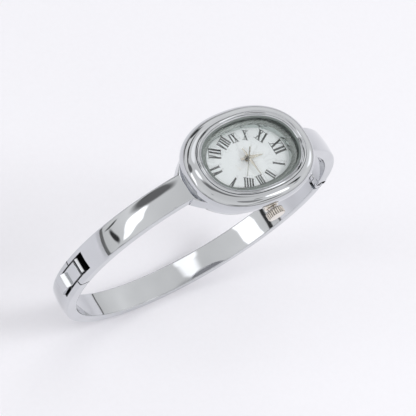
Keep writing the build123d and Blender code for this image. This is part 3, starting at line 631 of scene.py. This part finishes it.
def finish(slot):
    """The finish of a slot, made once."""
    if not made_finishes:
        made_finishes.update(make_finishes())
    return made_finishes[slot]


# Ovals of the case

OVAL_POWER = 2.25
OVAL_STEPS = 144
FLANK_STEPS = 4
DOME_STEPS = 16
SEAM = 0.02 * MM  # keeps faces that meet in one plane apart
ROUND = 0.3  # how far in from its corner a rounded edge's middle lies, over its radius


def oval_ring(rings, capped=False):
    """Solid of ovals, each a half length, a half width and a height. Uncapped, it closes."""
    stations = list(rings) if capped else list(rings) + [rings[0]]

    def place(station, point):
        half_length, half_width, height = station
        turn = math.tau * point / OVAL_STEPS
        x, y = math.cos(turn), math.sin(turn)
        reach = (abs(x) ** OVAL_POWER + abs(y) ** OVAL_POWER) ** (-1 / OVAL_POWER)
        return Vector((half_length * x * reach, half_width * y * reach, height))

    return sweep(OVAL_STEPS, stations, place, capped)


def rim_oval(tuck, height):
    case = sizes("case")
    return case.half_length - tuck, case.half_width - tuck, height


def glass_oval(growth, height):
    case = sizes("case")
    return case.glass_half_length + growth, case.glass_half_width + growth, height


def between_oval(part, height):
    """Oval between the glass, 0, and the rim, 1."""
    case = sizes("case")
    return (case.glass_half_length + part * (case.half_length - case.glass_half_length),
            case.glass_half_width + part * (case.half_width - case.glass_half_width),
            height)


def cavity_oval(gap, height):
    case = sizes("case")
    return case.cavity_half_length - gap, case.cavity_half_width - gap, height


def seat_height():
    """Height of the seat that the bezel and the grey ring meet at."""
    case = sizes("case")
    return case.dial_height + case.lip_rise - case.seat_drop


class WATCH_OT_case(bpy.types.Operator):
    """Add the case: tucked flank, upright rim and rounded shoulder"""
    bl_idname = "watch.case"
    bl_label = "Case"

    def execute(self, context):
        case = sizes("case")
        dial = case.dial_height
        rim_top = dial + case.rim_rise
        rim_low = rim_top - case.rim_height
        joint = dial - case.back_drop
        rise = case.dome_rise - case.rim_rise
        rings = [rim_oval(case.flank_low, joint)]
        for step in range(FLANK_STEPS + 1):
            part = step / FLANK_STEPS
            bulge = math.sin(part * math.pi / 2)
            tuck = case.flank_low + (case.flank_middle - case.flank_low) * bulge
            height = joint + (rim_low - case.flank_drop - joint) * part
            rings.append(rim_oval(tuck, height + SEAM))
        rings += [rim_oval(case.flank_top, rim_low), rim_oval(0, rim_low)]
        for step in range(DOME_STEPS + 1):
            turn = step / DOME_STEPS * math.pi / 2
            part = case.bezel_share + (1 - case.bezel_share) * math.cos(turn)
            rings.append(between_oval(part, rim_top + rise * math.sin(turn)))
        rings += [between_oval(case.bezel_share, seat_height()),
                  cavity_oval(0, seat_height()), cavity_oval(0, joint)]
        mesh = oval_ring(rings)
        soften(mesh, case.edge)
        piece("case_shell", mesh, "case", "polished_chrome", "case_body")
        return {"FINISHED"}


class WATCH_OT_bezel(bpy.types.Operator):
    """Add the bezel ring, with its ridge and the chamfer down to the glass"""
    bl_idname = "watch.bezel"
    bl_label = "Bezel"

    def execute(self, context):
        case = sizes("case")
        dial, seat = case.dial_height, seat_height()
        low_edge = dial + case.dome_rise - case.groove
        ridge = dial + case.ridge_rise
        lip = dial + case.lip_rise
        outside = case.bezel_share - case.bezel_gap
        middle = (case.bezel_share + case.ridge_share) / 2 + case.swell_share
        bead = case.gasket + case.bead
        bead_top = lip + (ridge - lip) * case.bead_share
        groove = bead + case.bead_groove
        mesh = oval_ring([
            between_oval(outside, seat),
            between_oval(outside, low_edge),
            between_oval(middle, (low_edge + ridge) / 2 + case.swell_rise),
            between_oval(case.ridge_share, ridge),
            glass_oval(groove, bead_top),
            glass_oval(groove, bead_top - case.bead_groove),
            glass_oval(bead, bead_top - case.bead_groove),
            glass_oval(bead, bead_top),
            glass_oval(bead - case.bead / 3, bead_top + case.bead_crest),
            glass_oval(case.gasket, lip),
            glass_oval(case.gasket, seat),
        ])
        soften(mesh, case.fine_edge, limit=math.radians(25))
        piece("bezel_ring", mesh, "case", "polished_chrome", "bezel")
        return {"FINISHED"}


class WATCH_OT_glass(bpy.types.Operator):
    """Add the glass, its gasket and the sloping ring under it"""
    bl_idname = "watch.glass"
    bl_label = "Glass and ring"

    def execute(self, context):
        case = sizes("case")
        dial, seat, gap = case.dial_height, seat_height(), case.fit_gap
        under = dial + case.glass_rise
        top = under + case.glass_thickness
        glass = oval_ring([
            glass_oval(-gap, under),
            glass_oval(-gap, top - case.glass_chamfer),
            glass_oval(-gap - case.glass_chamfer, top),
        ], capped=True)
        soften(glass, case.fine_edge)
        piece("glass", glass, "case", "mineral_glass", "crystal")

        high = dial + case.lip_rise - 2 * gap
        gasket = oval_ring([
            glass_oval(case.gasket, under), glass_oval(case.gasket, high),
            glass_oval(-gap, high), glass_oval(-gap, under),
        ])
        piece("glass_gasket", gasket, "case", "nylon_gasket", "crystal_gasket")

        foot = (case.foot_half_length, case.foot_half_width)
        ring = oval_ring([
            (*foot, dial), (*foot, dial + case.wall_height),
            glass_oval(-case.gasket, under), glass_oval(case.gasket, under),
            glass_oval(case.gasket, seat), cavity_oval(gap, seat), cavity_oval(gap, dial),
        ])
        soften(ring, gap)
        ring = piece("dial_ring", ring, "case", "grey_rehaut", "rehaut_ring")
        refinish(ring, "satin_slope", lambda place, way: way.z > ROUGHLY)
        return {"FINISHED"}


# Hands

ROOF = ((0.0, 1.0), (0.35, 1.0), (1.0, 0.06))  # share of a blade's thickness and width
HUB_STEPS = 32


def hand(outline, hub_radius, turn, rise):
    """Hand with a roof along its middle and a round hub, turned clockwise."""
    hands = sizes("hands")
    around = outline + [(x, -half) for x, half in reversed(outline)]
    base = sizes("case").dial_height + rise
    spin = Matrix.Rotation(-turn, 4, "Z")

    def place(station, point):
        height, narrow = station
        x, side = around[point]
        return spin @ Vector((x, side * narrow, base + hands.blade * height))

    def round_place(station, point):
        inward, height = station
        radius = hub_radius - inward
        angle = math.tau * point / HUB_STEPS
        return Vector((radius * math.cos(angle), radius * math.sin(angle), base + height))

    edge = hands.hub_edge
    hub = sweep(HUB_STEPS, [(0.0, 0.0), (0.0, hands.hub - edge),
                            (ROUND * edge, hands.hub - ROUND * edge), (edge, hands.hub)],
                round_place)
    return joined(sweep(len(around), ROOF, place), hub)


def tapered(length, width, tail):
    """Upper edge of a hand that is widest a little way out from its hub."""
    hands = sizes("hands")
    return [(-tail, width * hands.tail_end / 2), (length * hands.shoulder, width / 2),
            (length, width * hands.tip / 2)]


def needle(length, width, tail, tail_width, tail_start):
    """Upper edge of a seconds hand, with its straight tail."""
    return [(-tail, tail_width / 2), (-tail_start, tail_width / 2),
            (-tail_start * 5 / 6, width / 2), (length, width / 2)]


class WATCH_OT_hands(bpy.types.Operator):
    """Add the hour, minute and seconds hands"""
    bl_idname = "watch.hands"
    bl_label = "Hands"

    def execute(self, context):
        hands = sizes("hands")
        second = needle(hands.second_length, hands.second_width, hands.second_tail,
                        hands.second_tail_width, hands.second_tail_start)
        minute = tapered(hands.minute_length, hands.minute_width, hands.minute_tail)
        hour = tapered(hands.hour_length, hands.hour_width, hands.hour_tail)

        # Painted shade: the sides of each hub, and the blade's edges near it, take the dark
        # finish
        def on_hub_side(place, way):
            return place.xy.length < hands.hour_hub + SEAM and abs(way.z) < ACROSS

        for name, body, outline, hub, turns, rise in (
                ("hour", "hours", hour, hands.hour_hub, hands.minutes / 720,
                 hands.hour_rise),
                ("minute", "minutes", minute, hands.minute_hub, hands.minutes / 60,
                 hands.minute_rise),
                ("second", "seconds", second, hands.second_hub, hands.minutes % 1,
                 hands.second_rise)):
            mesh = hand(outline, hub, math.tau * turns, rise)
            item = piece(name + "_hand_blade", mesh, body, "champagne_hands",
                         name + "_hand", sharp=math.radians(12))
            refinish(item, "painted_shade", on_hub_side)
        return {"FINISHED"}


# Crown

FLUTE_STEPS = 8
FLUTE_SHARPNESS = 1.3


class WATCH_OT_crown(bpy.types.Operator):
    """Add the fluted crown and the flange of its tube"""
    bl_idname = "watch.crown"
    bl_label = "Crown"

    def execute(self, context):
        crown = sizes("crown")
        steps = crown.flutes * FLUTE_STEPS
        near, far = crown.face, crown.face + crown.length
        radius, edge = crown.radius, crown.edge
        turned = ROUND * edge
        # Radius, place along the axis and depth of the flutes as a share. The last three
        # make an end face that is barely domed.
        stations = [
            (crown.neck_radius, near - crown.neck, 0.0), (crown.neck_radius, near, 0.0),
            (radius - edge, near, 0.0), (radius - turned, near + turned, 0.5),
            (radius, near + edge, 1.0), (radius, far - edge, 1.0),
            (radius - turned, far - turned, 0.5),
            (radius - edge, far - 0.2 * edge, 0.0), (radius * 0.6, far - 0.05 * edge, 0.0),
            (radius * 0.1, far, 0.0),
        ]

        def place(station, point):
            reach, y, fluted = station
            turn = math.tau * point / steps
            wave = 0.5 + 0.5 * math.cos(turn * crown.flutes)
            reach -= fluted * crown.flute_depth * wave ** FLUTE_SHARPNESS
            return Vector((reach * math.cos(turn), -y, crown.height + reach * math.sin(turn)))

        piece("crown_knob", sweep(steps, stations, place), "crown", "crown_chrome", "crown")
        flange = tube(crown.tube_radius, crown.tube_bore,
                      -crown.tube_seat - crown.tube_length,
                      -crown.tube_seat + crown.tube_sunk, (0, crown.height),
                      crown.tube_edge)
        piece("crown_flange", flange, "case", "crown_chrome", "crown_tube")
        return {"FINISHED"}


# Bangle

ARM_STEPS, SLOT_STEPS, REAR_STEPS, CHANNEL_STEPS, LEAF_STEPS = 60, 14, 120, 20, 3
FACE_STEPS, BACK_STEPS = 12, 4
OUTER_ROUND_STEPS, INNER_ROUND_STEPS = 4, 3


def band_section(low, high, low_edge, high_edge):
    """Outline of a slice of the band as (place along the wrist, depth under the crest)."""
    band = sizes("band")
    deep = band.thickness
    inner_low, inner_high = min(band.inner_edge, low_edge), min(band.inner_edge, high_edge)
    start, end = low + low_edge, high - high_edge
    back_start, back_end = high - inner_high, low + inner_low

    def crest(y):
        return band.crown * (y / band.half_width) ** 2

    face = [start + (end - start) * step / FACE_STEPS for step in range(1, FACE_STEPS)]
    back = [back_start + (back_end - back_start) * step / BACK_STEPS
            for step in range(1, BACK_STEPS)]
    return ([(y, crest(y)) for y in face]
            + corner((end, crest(end) + high_edge), high_edge, -90, 0, OUTER_ROUND_STEPS)
            + corner((back_start, deep - inner_high), inner_high, 0, 90, INNER_ROUND_STEPS)
            + [(y, deep) for y in back]
            + corner((back_end, deep - inner_low), inner_low, 90, 180, INNER_ROUND_STEPS)
            + corner((start, crest(start) + low_edge), low_edge, 180, 270,
                     OUTER_ROUND_STEPS))


def turn_at_height(height, left):
    """Where a level cut meets the band, as a turn for each depth."""
    band = sizes("band")

    def turn(depth):
        angle = math.asin(height / (band.half_height - depth))
        return math.pi - angle if left else angle

    return turn


def turn_at_length(x):
    band = sizes("band")
    return lambda depth: math.acos(x / (band.half_length - depth))


def band_piece(section, start, end, steps):
    """Slice of the band between two cuts."""
    band = sizes("band")

    def place(station, point):
        y, depth = section[point]
        turn = start(depth) + (end(depth) - start(depth)) * station
        return Vector(((band.half_length - depth) * math.cos(turn), y,
                       (band.half_height - depth) * math.sin(turn)))

    return sweep(len(section), [step / steps for step in range(steps + 1)], place)


def whole_section():
    band = sizes("band")
    return band_section(-band.half_width, band.half_width, band.outer_edge, band.outer_edge)


def rail_sections():
    """The two rails beside the clasp's slot."""
    band, clasp = sizes("band"), sizes("clasp")
    edge = band.slot_edge
    return (band_section(-band.half_width, -clasp.slot_half_width, band.outer_edge, edge),
            band_section(clasp.slot_half_width, band.half_width, edge, band.outer_edge))


def slot_floor():
    """The thin floor under the clasp's slot."""
    band, clasp = sizes("band"), sizes("clasp")
    half, top, low = clasp.slot_half_width, clasp.slot_depth, band.thickness
    return [(-half, top), (half, top), (half, low), (-half, low)]


def below_right(cut):
    """A cut on the right, reached by way of the bottom of the ring."""
    return lambda depth: cut(depth) + math.tau


def on_slot_wall(place, way):
    return abs(place.y) < sizes("clasp").slot_half_width + SEAM and way.x < ROUGHLY


def knuckle(low, high):
    """Barrel of the hinge between two places along its pin."""
    band, hinge = sizes("band"), sizes("hinge")
    middle = band.thickness / 2
    turn = turn_at_height(hinge.height, False)(middle)
    centre = ((band.half_length - middle) * math.cos(turn), hinge.height)
    return tube(hinge.radius, hinge.pin_radius, low, high, centre, hinge.knuckle_edge)


def add_six_arm():
    """The arm that holds the clasp's slot, with painted shade inside it."""
    band, clasp = sizes("band"), sizes("clasp")
    slot_top = turn_at_height(clasp.slot_top, True)
    end = turn_at_height(clasp.arm_end, True)
    parts = [band_piece(whole_section(), turn_at_length(-band.link_face), slot_top,
                        ARM_STEPS)]
    parts += [band_piece(section, slot_top, end, SLOT_STEPS)
              for section in (*rail_sections(), slot_floor())]
    arm = piece("six_arm", joined(*parts), "case", "polished_chrome", "arm_six")

    # Painted shade: the slot's walls and the faces that look down inside it take the dark finish
    def in_slot(place, way):
        return place.z < clasp.slot_top + SEAM and (on_slot_wall(place, way)
                                                    or way.z < -STRAIGHT)

    refinish(arm, "painted_shade", in_slot)


def add_twelve_arm():
    """The arm whose two knuckles hold the hinge pin."""
    band, hinge = sizes("band"), sizes("hinge")
    leaf = turn_at_height(hinge.height + hinge.leaf_gap, False)
    axle = turn_at_height(hinge.height, False)
    side = hinge.middle_width / 2 + hinge.side_gap
    parts = [band_piece(whole_section(), turn_at_length(band.link_face), leaf, ARM_STEPS)]
    for low, high in ((-band.half_width, -side), (side, band.half_width)):
        section = band_section(low, high, band.slot_edge, band.slot_edge)
        parts += [band_piece(section, leaf, axle, LEAF_STEPS), knuckle(low, high)]
    piece("twelve_arm", joined(*parts), "case", "polished_chrome", "arm_twelve")


def add_rear_half():
    """The half that swings, from the lever's channel to the hinge's middle knuckle."""
    band, clasp, hinge = sizes("band"), sizes("clasp"), sizes("hinge")
    leaf = turn_at_height(hinge.height - hinge.leaf_gap, False)
    axle = turn_at_height(hinge.height, False)
    channel = turn_at_height(clasp.channel_end, True)
    joint = turn_at_height(clasp.arm_end - clasp.joint_gap, True)
    middle = hinge.middle_width / 2
    web = band_section(-middle, middle, band.slot_edge, band.slot_edge)
    parts = [band_piece(whole_section(), channel, below_right(leaf), REAR_STEPS)]
    parts += [band_piece(section, joint, channel, CHANNEL_STEPS)
              for section in rail_sections()]
    parts += [band_piece(web, leaf, axle, LEAF_STEPS), knuckle(-middle, middle)]
    half = piece("rear_band", joined(*parts), "rear", "polished_chrome", "rear_half")

    # Painted shade: the channel's walls and the upper ends beside the joint take the dark finish
    def in_channel(place, way):
        end = way.z > STRAIGHT and place.z > clasp.arm_end - 2 * clasp.joint_gap
        return (place.x < 0 and place.z > clasp.channel_end - SEAM
                and (on_slot_wall(place, way) or end))

    refinish(half, "painted_shade", in_channel)


class WATCH_OT_bangle(bpy.types.Operator):
    """Add the two arms and the rear half of the bangle"""
    bl_idname = "watch.bangle"
    bl_label = "Bangle"

    def execute(self, context):
        add_six_arm()
        add_twelve_arm()
        add_rear_half()
        return {"FINISHED"}


LINK_STEPS, LINK_FACE_STEPS = 16, 6
DISH_QUICKNESS = 3  # the dish has its full depth after a third of the link


class WATCH_OT_links(bpy.types.Operator):
    """Add the flared end links between the case and the arms"""
    bl_idname = "watch.links"
    bl_label = "End links"

    def execute(self, context):
        band = sizes("band")
        across = [step / LINK_FACE_STEPS
                  for step in range(-LINK_FACE_STEPS, LINK_FACE_STEPS + 1)]
        outline = [(place, band.link_drop + band.link_crown * place ** 2)
                   for place in across]
        outline += [(place, band.thickness) for place in (1.0, 0.5, 0.0, -0.5, -1.0)]
        stations = [step / LINK_STEPS for step in range(LINK_STEPS + 1)]
        for side, name in ((-1, "six"), (1, "twelve")):
            def place(station, point):
                aside, depth = outline[point]
                x = band.link_face - station * band.link_length
                early = station + band.link_curve * (station - station ** 2)
                half = band.half_width + band.link_flare * early
                if depth < band.thickness:
                    depth += (band.link_dish * (1 - aside ** 2)
                              * min(1.0, DISH_QUICKNESS * station))
                turn = math.acos(x / (band.half_length - depth))
                return Vector((side * x, aside * half,
                               (band.half_height - depth) * math.sin(turn)))

            mesh = sweep(len(outline), stations, place)
            soften(mesh, band.link_edge, limit=math.radians(50))
            piece(name + "_link", mesh, "case", "polished_chrome", "end_link_" + name)
        return {"FINISHED"}


# Clasp

LEVER_STEPS = 8
LOBE_ARC = (252, 172, 12)  # first and last bearing in degrees, and steps
BARREL_ARC = (40, -70, 8)


def lever_outline():
    """Side outline of the clasp lever, as (X, Z), round its outer side and back inside."""
    band, clasp = sizes("band"), sizes("clasp")
    pivot = (clasp.pivot_length, clasp.pivot_height)
    top, rise = clasp.lever_tip, clasp.ridge_rise
    ridge_low = top - clasp.ridge_length
    groove_low = ridge_low - clasp.groove_width
    back_top = top - rise / 2
    parts = [step / LEVER_STEPS for step in range(1, LEVER_STEPS + 1)]
    face = [clasp.step_height + (groove_low - clasp.step_height) * part for part in parts]
    back = [back_top + (clasp.lever_low - back_top) * part for part in parts]
    # Height over the wrist's centre and depth under the band's face, from the lobe up to
    # the free end, whose ridge is rounded, and down the back
    heights = [
        (clasp.lobe_top, -clasp.step_rise),
        (clasp.step_height - clasp.step_slope, -clasp.step_rise),
        (clasp.step_height, 0),
        *((height, 0) for height in face),
        (groove_low, clasp.groove_depth), (ridge_low, clasp.groove_depth),
        (ridge_low, -0.8 * rise), (top - rise * 2 / 3, -rise), (top, -0.4 * rise),
        (top, clasp.lever_thickness * 0.8),
        *((height, clasp.lever_thickness) for height in back),
    ]
    outline = [(-(band.half_length - depth)
                * math.sqrt(1 - (height / (band.half_height - depth)) ** 2), height)
               for height, depth in heights]
    return (corner(pivot, clasp.lobe_radius, *LOBE_ARC) + outline
            + corner(pivot, clasp.barrel_radius, *BARREL_ARC))


class WATCH_OT_clasp(bpy.types.Operator):
    """Add the clasp lever"""
    bl_idname = "watch.clasp"
    bl_label = "Clasp lever"

    def execute(self, context):
        clasp = sizes("clasp")
        outline = lever_outline()
        half = clasp.lever_half_width

        def place(station, point):
            x, z = outline[point]
            return Vector((x, station, z))

        mesh = sweep(len(outline), [-half, half], place)
        soften(mesh, clasp.lever_edge, limit=math.radians(60), segments=3)
        lever = piece("lever_plate", mesh, "lever", "polished_chrome", "clasp_lever")
        top = clasp.lever_tip - clasp.ridge_length

        # Painted shade: the groove under the free end's ridge takes the dark finish
        def in_groove(place, way):
            return top - clasp.groove_width <= place.z <= top and way.x < -ROUGHLY

        refinish(lever, "painted_shade", in_groove)
        return {"FINISHED"}


class WATCH_OT_solids(bpy.types.Operator):
    """Give every carried-over solid its finish"""
    bl_idname = "watch.solids"
    bl_label = "Solids' finishes"

    def execute(self, context):
        for entry in frame["record"]["subparts"]:
            solid = frame["nodes"][entry["node"]]
            material = finish(entry["material_slot"])
            if solid.material_slots:
                for slot in solid.material_slots:
                    slot.material = material
            else:
                solid.data.materials.append(material)
        return {"FINISHED"}


# Stage

# Name, place and size in metres, and power in watts
LAMPS = (
    ("main_box", (0.25, -0.19, 0.45), (0.22, 0.22), 0.68),
    ("left_box", (-0.40, 0.12, 0.30), (0.20, 0.35), 0.32),
)
# Tones of the room: at the foot of the wall, then by height, and at the zenith
ROOM_LOW, ROOM_TONES, ROOM_HIGH = 0.20, ((0.02, 0.20), (0.035, 0.76), (0.45, 0.92)), 0.78
WARP_SCALE, WARP = 3.0, 0.16
COOL = 1.01  # a panel's blue over its red and green
# The mix node's colour sockets, which share their names with its number sockets
MIX_UNDER, MIX_OVER, MIX_RESULT = 6, 7, 2
# The directions of both ends, the half width in degrees, the tone and the softness
PANELS = (
    (((0.05, 0.50, 0.86), (0.48, 0.42, 0.77)), 8, 1.25, 0.15),
    (((0.50, 0.00, 0.87), (-0.20, 0.10, 0.97)), 7, 0.22, 0.30),
    (((0.10, 0.27, 0.96), (-0.22, 0.27, 0.94)), 4, 1.6, 0.20),
    (((-0.76, 0.44, 0.48), (-0.32, 0.48, 0.82)), 7.5, 0.17, 0.25),
    (((-0.58, 0.56, 0.59), (0.36, 0.76, 0.54)), 4, 0.08, 0.25),
    (((0.10, 0.98, 0.14), (0.34, 0.80, 0.49)), 6, 0.06, 0.2),
    (((0.45, -0.64, 0.62), (0.05, -0.66, 0.75)), 7, 0.34, 0.15),
    (((-0.66, 0.33, 0.66), (-0.95, 0.08, 0.27)), 5.5, 1.8, 0.10),
    (((-0.90, 0.40, 0.15), (-0.97, 0.10, 0.17)), 2.2, 0.05, 0.35),
    (((-0.84, 0.47, 0.27), (-0.90, 0.42, 0.08)), 0.8, 0.05, 0.3),
    (((-0.62, 0.78, 0.15), (0.62, 0.78, 0.15)), 5, 0.08, 0.15),
    (((0.71, -0.26, 0.65), (0.62, -0.08, 0.78)), 3.5, 0.06, 0.25),
    (((0.60, -0.72, 0.36), (0.30, -0.88, 0.36)), 4, 0.10, 0.2),
    (((0.50, -0.34, 0.79), (0.66, -0.54, 0.53)), 4.5, 2.0, 0.12),
    (((0.80, 0.05, 0.60), (0.93, -0.15, 0.33)), 7, 1.5, 0.2),
    (((-0.30, -0.93, 0.20), (0.30, -0.93, 0.20)), 3, 0.06, 0.3),
    (((-0.97, -0.26, 0.12), (-0.72, -0.68, 0.16)), 3, 0.05, 0.3),
    (((0.39, -0.47, 0.79), (0.46, -0.40, 0.79)), 1.6, 0.04, 0.2),
    (((0.70, -0.38, 0.61), (0.73, -0.31, 0.61)), 1.3, 0.05, 0.2),
    (((-0.50, -0.30, 0.81), (-0.44, -0.37, 0.82)), 1.2, 0.05, 0.2),
)


def area_lamp(name, place, size, power):
    data = bpy.data.lights.new(name, "AREA")
    data.shape = "RECTANGLE"
    data.size, data.size_y = size
    data.energy = power
    lamp = bpy.data.objects.new(name, data)
    bpy.context.scene.collection.objects.link(lamp)
    lamp.location = place
    lamp.rotation_euler = (-Vector(place)).to_track_quat("-Z", "Y").to_euler()
    lamp.visible_glossy = False


def panel(tree, place, under, ends, half_width, tone, edge):
    """Long oval of one tone on the studio's walls, between two directions."""
    start, end = (Vector(way).normalized() for way in ends)
    middle = (start + end).normalized()
    along = (end - start).normalized()
    turn = Matrix((along, middle.cross(along), middle)).transposed().to_euler()
    local = node(tree, "ShaderNodeMapping", {
        "Vector": place, "Location": middle, "Rotation": turn,
        "Scale": ((end - start).length / 2, math.radians(half_width), 1.0)},
        vector_type="TEXTURE")
    reach = node(tree, "ShaderNodeVectorMath", {0: local.outputs["Vector"]},
                 operation="LENGTH")
    cover = node(tree, "ShaderNodeMapRange", {
        "Value": reach.outputs["Value"], "From Min": 1 + edge, "From Max": 1 - edge},
        interpolation_type="SMOOTHSTEP")
    mix = node(tree, "ShaderNodeMix", {
        "Factor": cover.outputs["Result"], MIX_UNDER: under,
        MIX_OVER: (tone, tone, tone * COOL, 1.0)}, data_type="RGBA")
    return mix.outputs[MIX_RESULT]


def studio_world():
    """Pale room whose panels and flags the plating mirrors."""
    world = bpy.data.worlds.new("studio")
    bpy.context.scene.world = world
    world.use_nodes = True
    tree = world.node_tree
    background = tree.nodes["Background"]
    place = node(tree, "ShaderNodeTexCoord").outputs["Generated"]
    height = node(tree, "ShaderNodeSeparateXYZ", {"Vector": place}).outputs["Z"]
    ramp = node(tree, "ShaderNodeValToRGB", {"Fac": height})
    stops = ramp.color_ramp.elements
    for position, tone in ROOM_TONES:
        stops.new(position).color = (tone, tone, tone, 1.0)
    stops[0].color = (ROOM_LOW, ROOM_LOW, ROOM_LOW, 1.0)
    stops[-1].color = (ROOM_HIGH, ROOM_HIGH, ROOM_HIGH, 1.0)
    # The panels' edges waver, as they do in plating that isn't quite true
    ripple = node(tree, "ShaderNodeTexNoise",
                  {"Vector": place, "Scale": WARP_SCALE, "Detail": 1.0})
    shift = node(tree, "ShaderNodeVectorMath", {
        0: ripple.outputs["Color"], 1: (0.5, 0.5, 0.5)}, operation="SUBTRACT")
    warped = node(tree, "ShaderNodeVectorMath", {
        0: shift.outputs["Vector"], 1: (WARP, WARP, WARP), 2: place},
        operation="MULTIPLY_ADD").outputs["Vector"]
    tones = ramp.outputs["Color"]
    for row in PANELS:
        tones = panel(tree, warped, tones, *row)
    tree.links.new(tones, background.inputs["Color"])
    background.inputs["Strength"].default_value = 1.0


class WATCH_OT_stage(bpy.types.Operator):
    """Add the floor, the lamps and the camera"""
    bl_idname = "watch.stage"
    bl_label = "Stage"

    def execute(self, context):
        stage = sizes("stage")
        scene = context.scene
        scene.view_settings.view_transform = "Standard"
        low = -sizes("band").half_height - stage.floor_gap
        mesh = bmesh.new()
        bmesh.ops.create_grid(mesh, x_segments=2, y_segments=2, size=stage.floor_size / 2,
                              matrix=Matrix.Translation((0, 0, low)))
        shape = bpy.data.meshes.new("floor")
        mesh.to_mesh(shape)
        mesh.free()
        floor = bpy.data.objects.new("floor", shape)
        scene.collection.objects.link(floor)
        shape.materials.append(floor_paper())
        studio_world()

        back = Vector((math.sin(stage.azimuth) * math.cos(stage.elevation),
                       -math.cos(stage.azimuth) * math.cos(stage.elevation),
                       math.sin(stage.elevation)))
        camera = bpy.data.objects.new("camera", bpy.data.cameras.new("camera"))
        scene.collection.objects.link(camera)
        camera.data.lens = stage.lens
        camera.data.clip_start, camera.data.clip_end = 1 * MM, 10.0
        camera.location = Vector(stage.aim) + back * stage.distance
        camera.rotation_mode = "QUATERNION"
        level = (-back).to_track_quat("-Z", "Y")
        camera.rotation_quaternion = (Matrix.Rotation(stage.roll, 3, back)
                                      @ level.to_matrix()).to_quaternion()
        scene.camera = camera

        for lamp in LAMPS:
            area_lamp(*lamp)
        return {"FINISHED"}


class WATCH_PT_panel(bpy.types.Panel):
    """Buttons and sizes of the watch"""
    bl_idname = "WATCH_PT_panel"
    bl_label = "Bangle Watch"
    bl_space_type = "VIEW_3D"
    bl_region_type = "UI"
    bl_category = "Watch"

    def draw(self, context):
        for operator in OPERATORS:
            self.layout.operator(operator.bl_idname)
        for attribute, group in GROUPS.items():
            box = self.layout.box()
            box.label(text=group.__doc__)
            for name in group.__annotations__:
                box.prop(getattr(context.scene, attribute), name)


OPERATORS = (
    WATCH_OT_solids,
    WATCH_OT_case,
    WATCH_OT_bezel,
    WATCH_OT_glass,
    WATCH_OT_hands,
    WATCH_OT_crown,
    WATCH_OT_links,
    WATCH_OT_bangle,
    WATCH_OT_clasp,
    WATCH_OT_stage,
)


def register():
    for attribute, group in GROUPS.items():
        bpy.utils.register_class(group)
        setattr(bpy.types.Scene, attribute, bpy.props.PointerProperty(type=group))
    for operator in OPERATORS:
        bpy.utils.register_class(operator)
    bpy.utils.register_class(WATCH_PT_panel)


def unregister():
    bpy.utils.unregister_class(WATCH_PT_panel)
    for operator in reversed(OPERATORS):
        bpy.utils.unregister_class(operator)
    for attribute, group in reversed(GROUPS.items()):
        delattr(bpy.types.Scene, attribute)
        bpy.utils.unregister_class(group)


def main():
    register()
    bpy.ops.watch.solids()
    bpy.ops.watch.case()
    bpy.ops.watch.bezel()
    bpy.ops.watch.glass()
    bpy.ops.watch.hands()
    bpy.ops.watch.crown()
    bpy.ops.watch.links()
    bpy.ops.watch.bangle()
    bpy.ops.watch.clasp()
    bpy.ops.watch.stage()


if __name__ == "__main__":
    main()
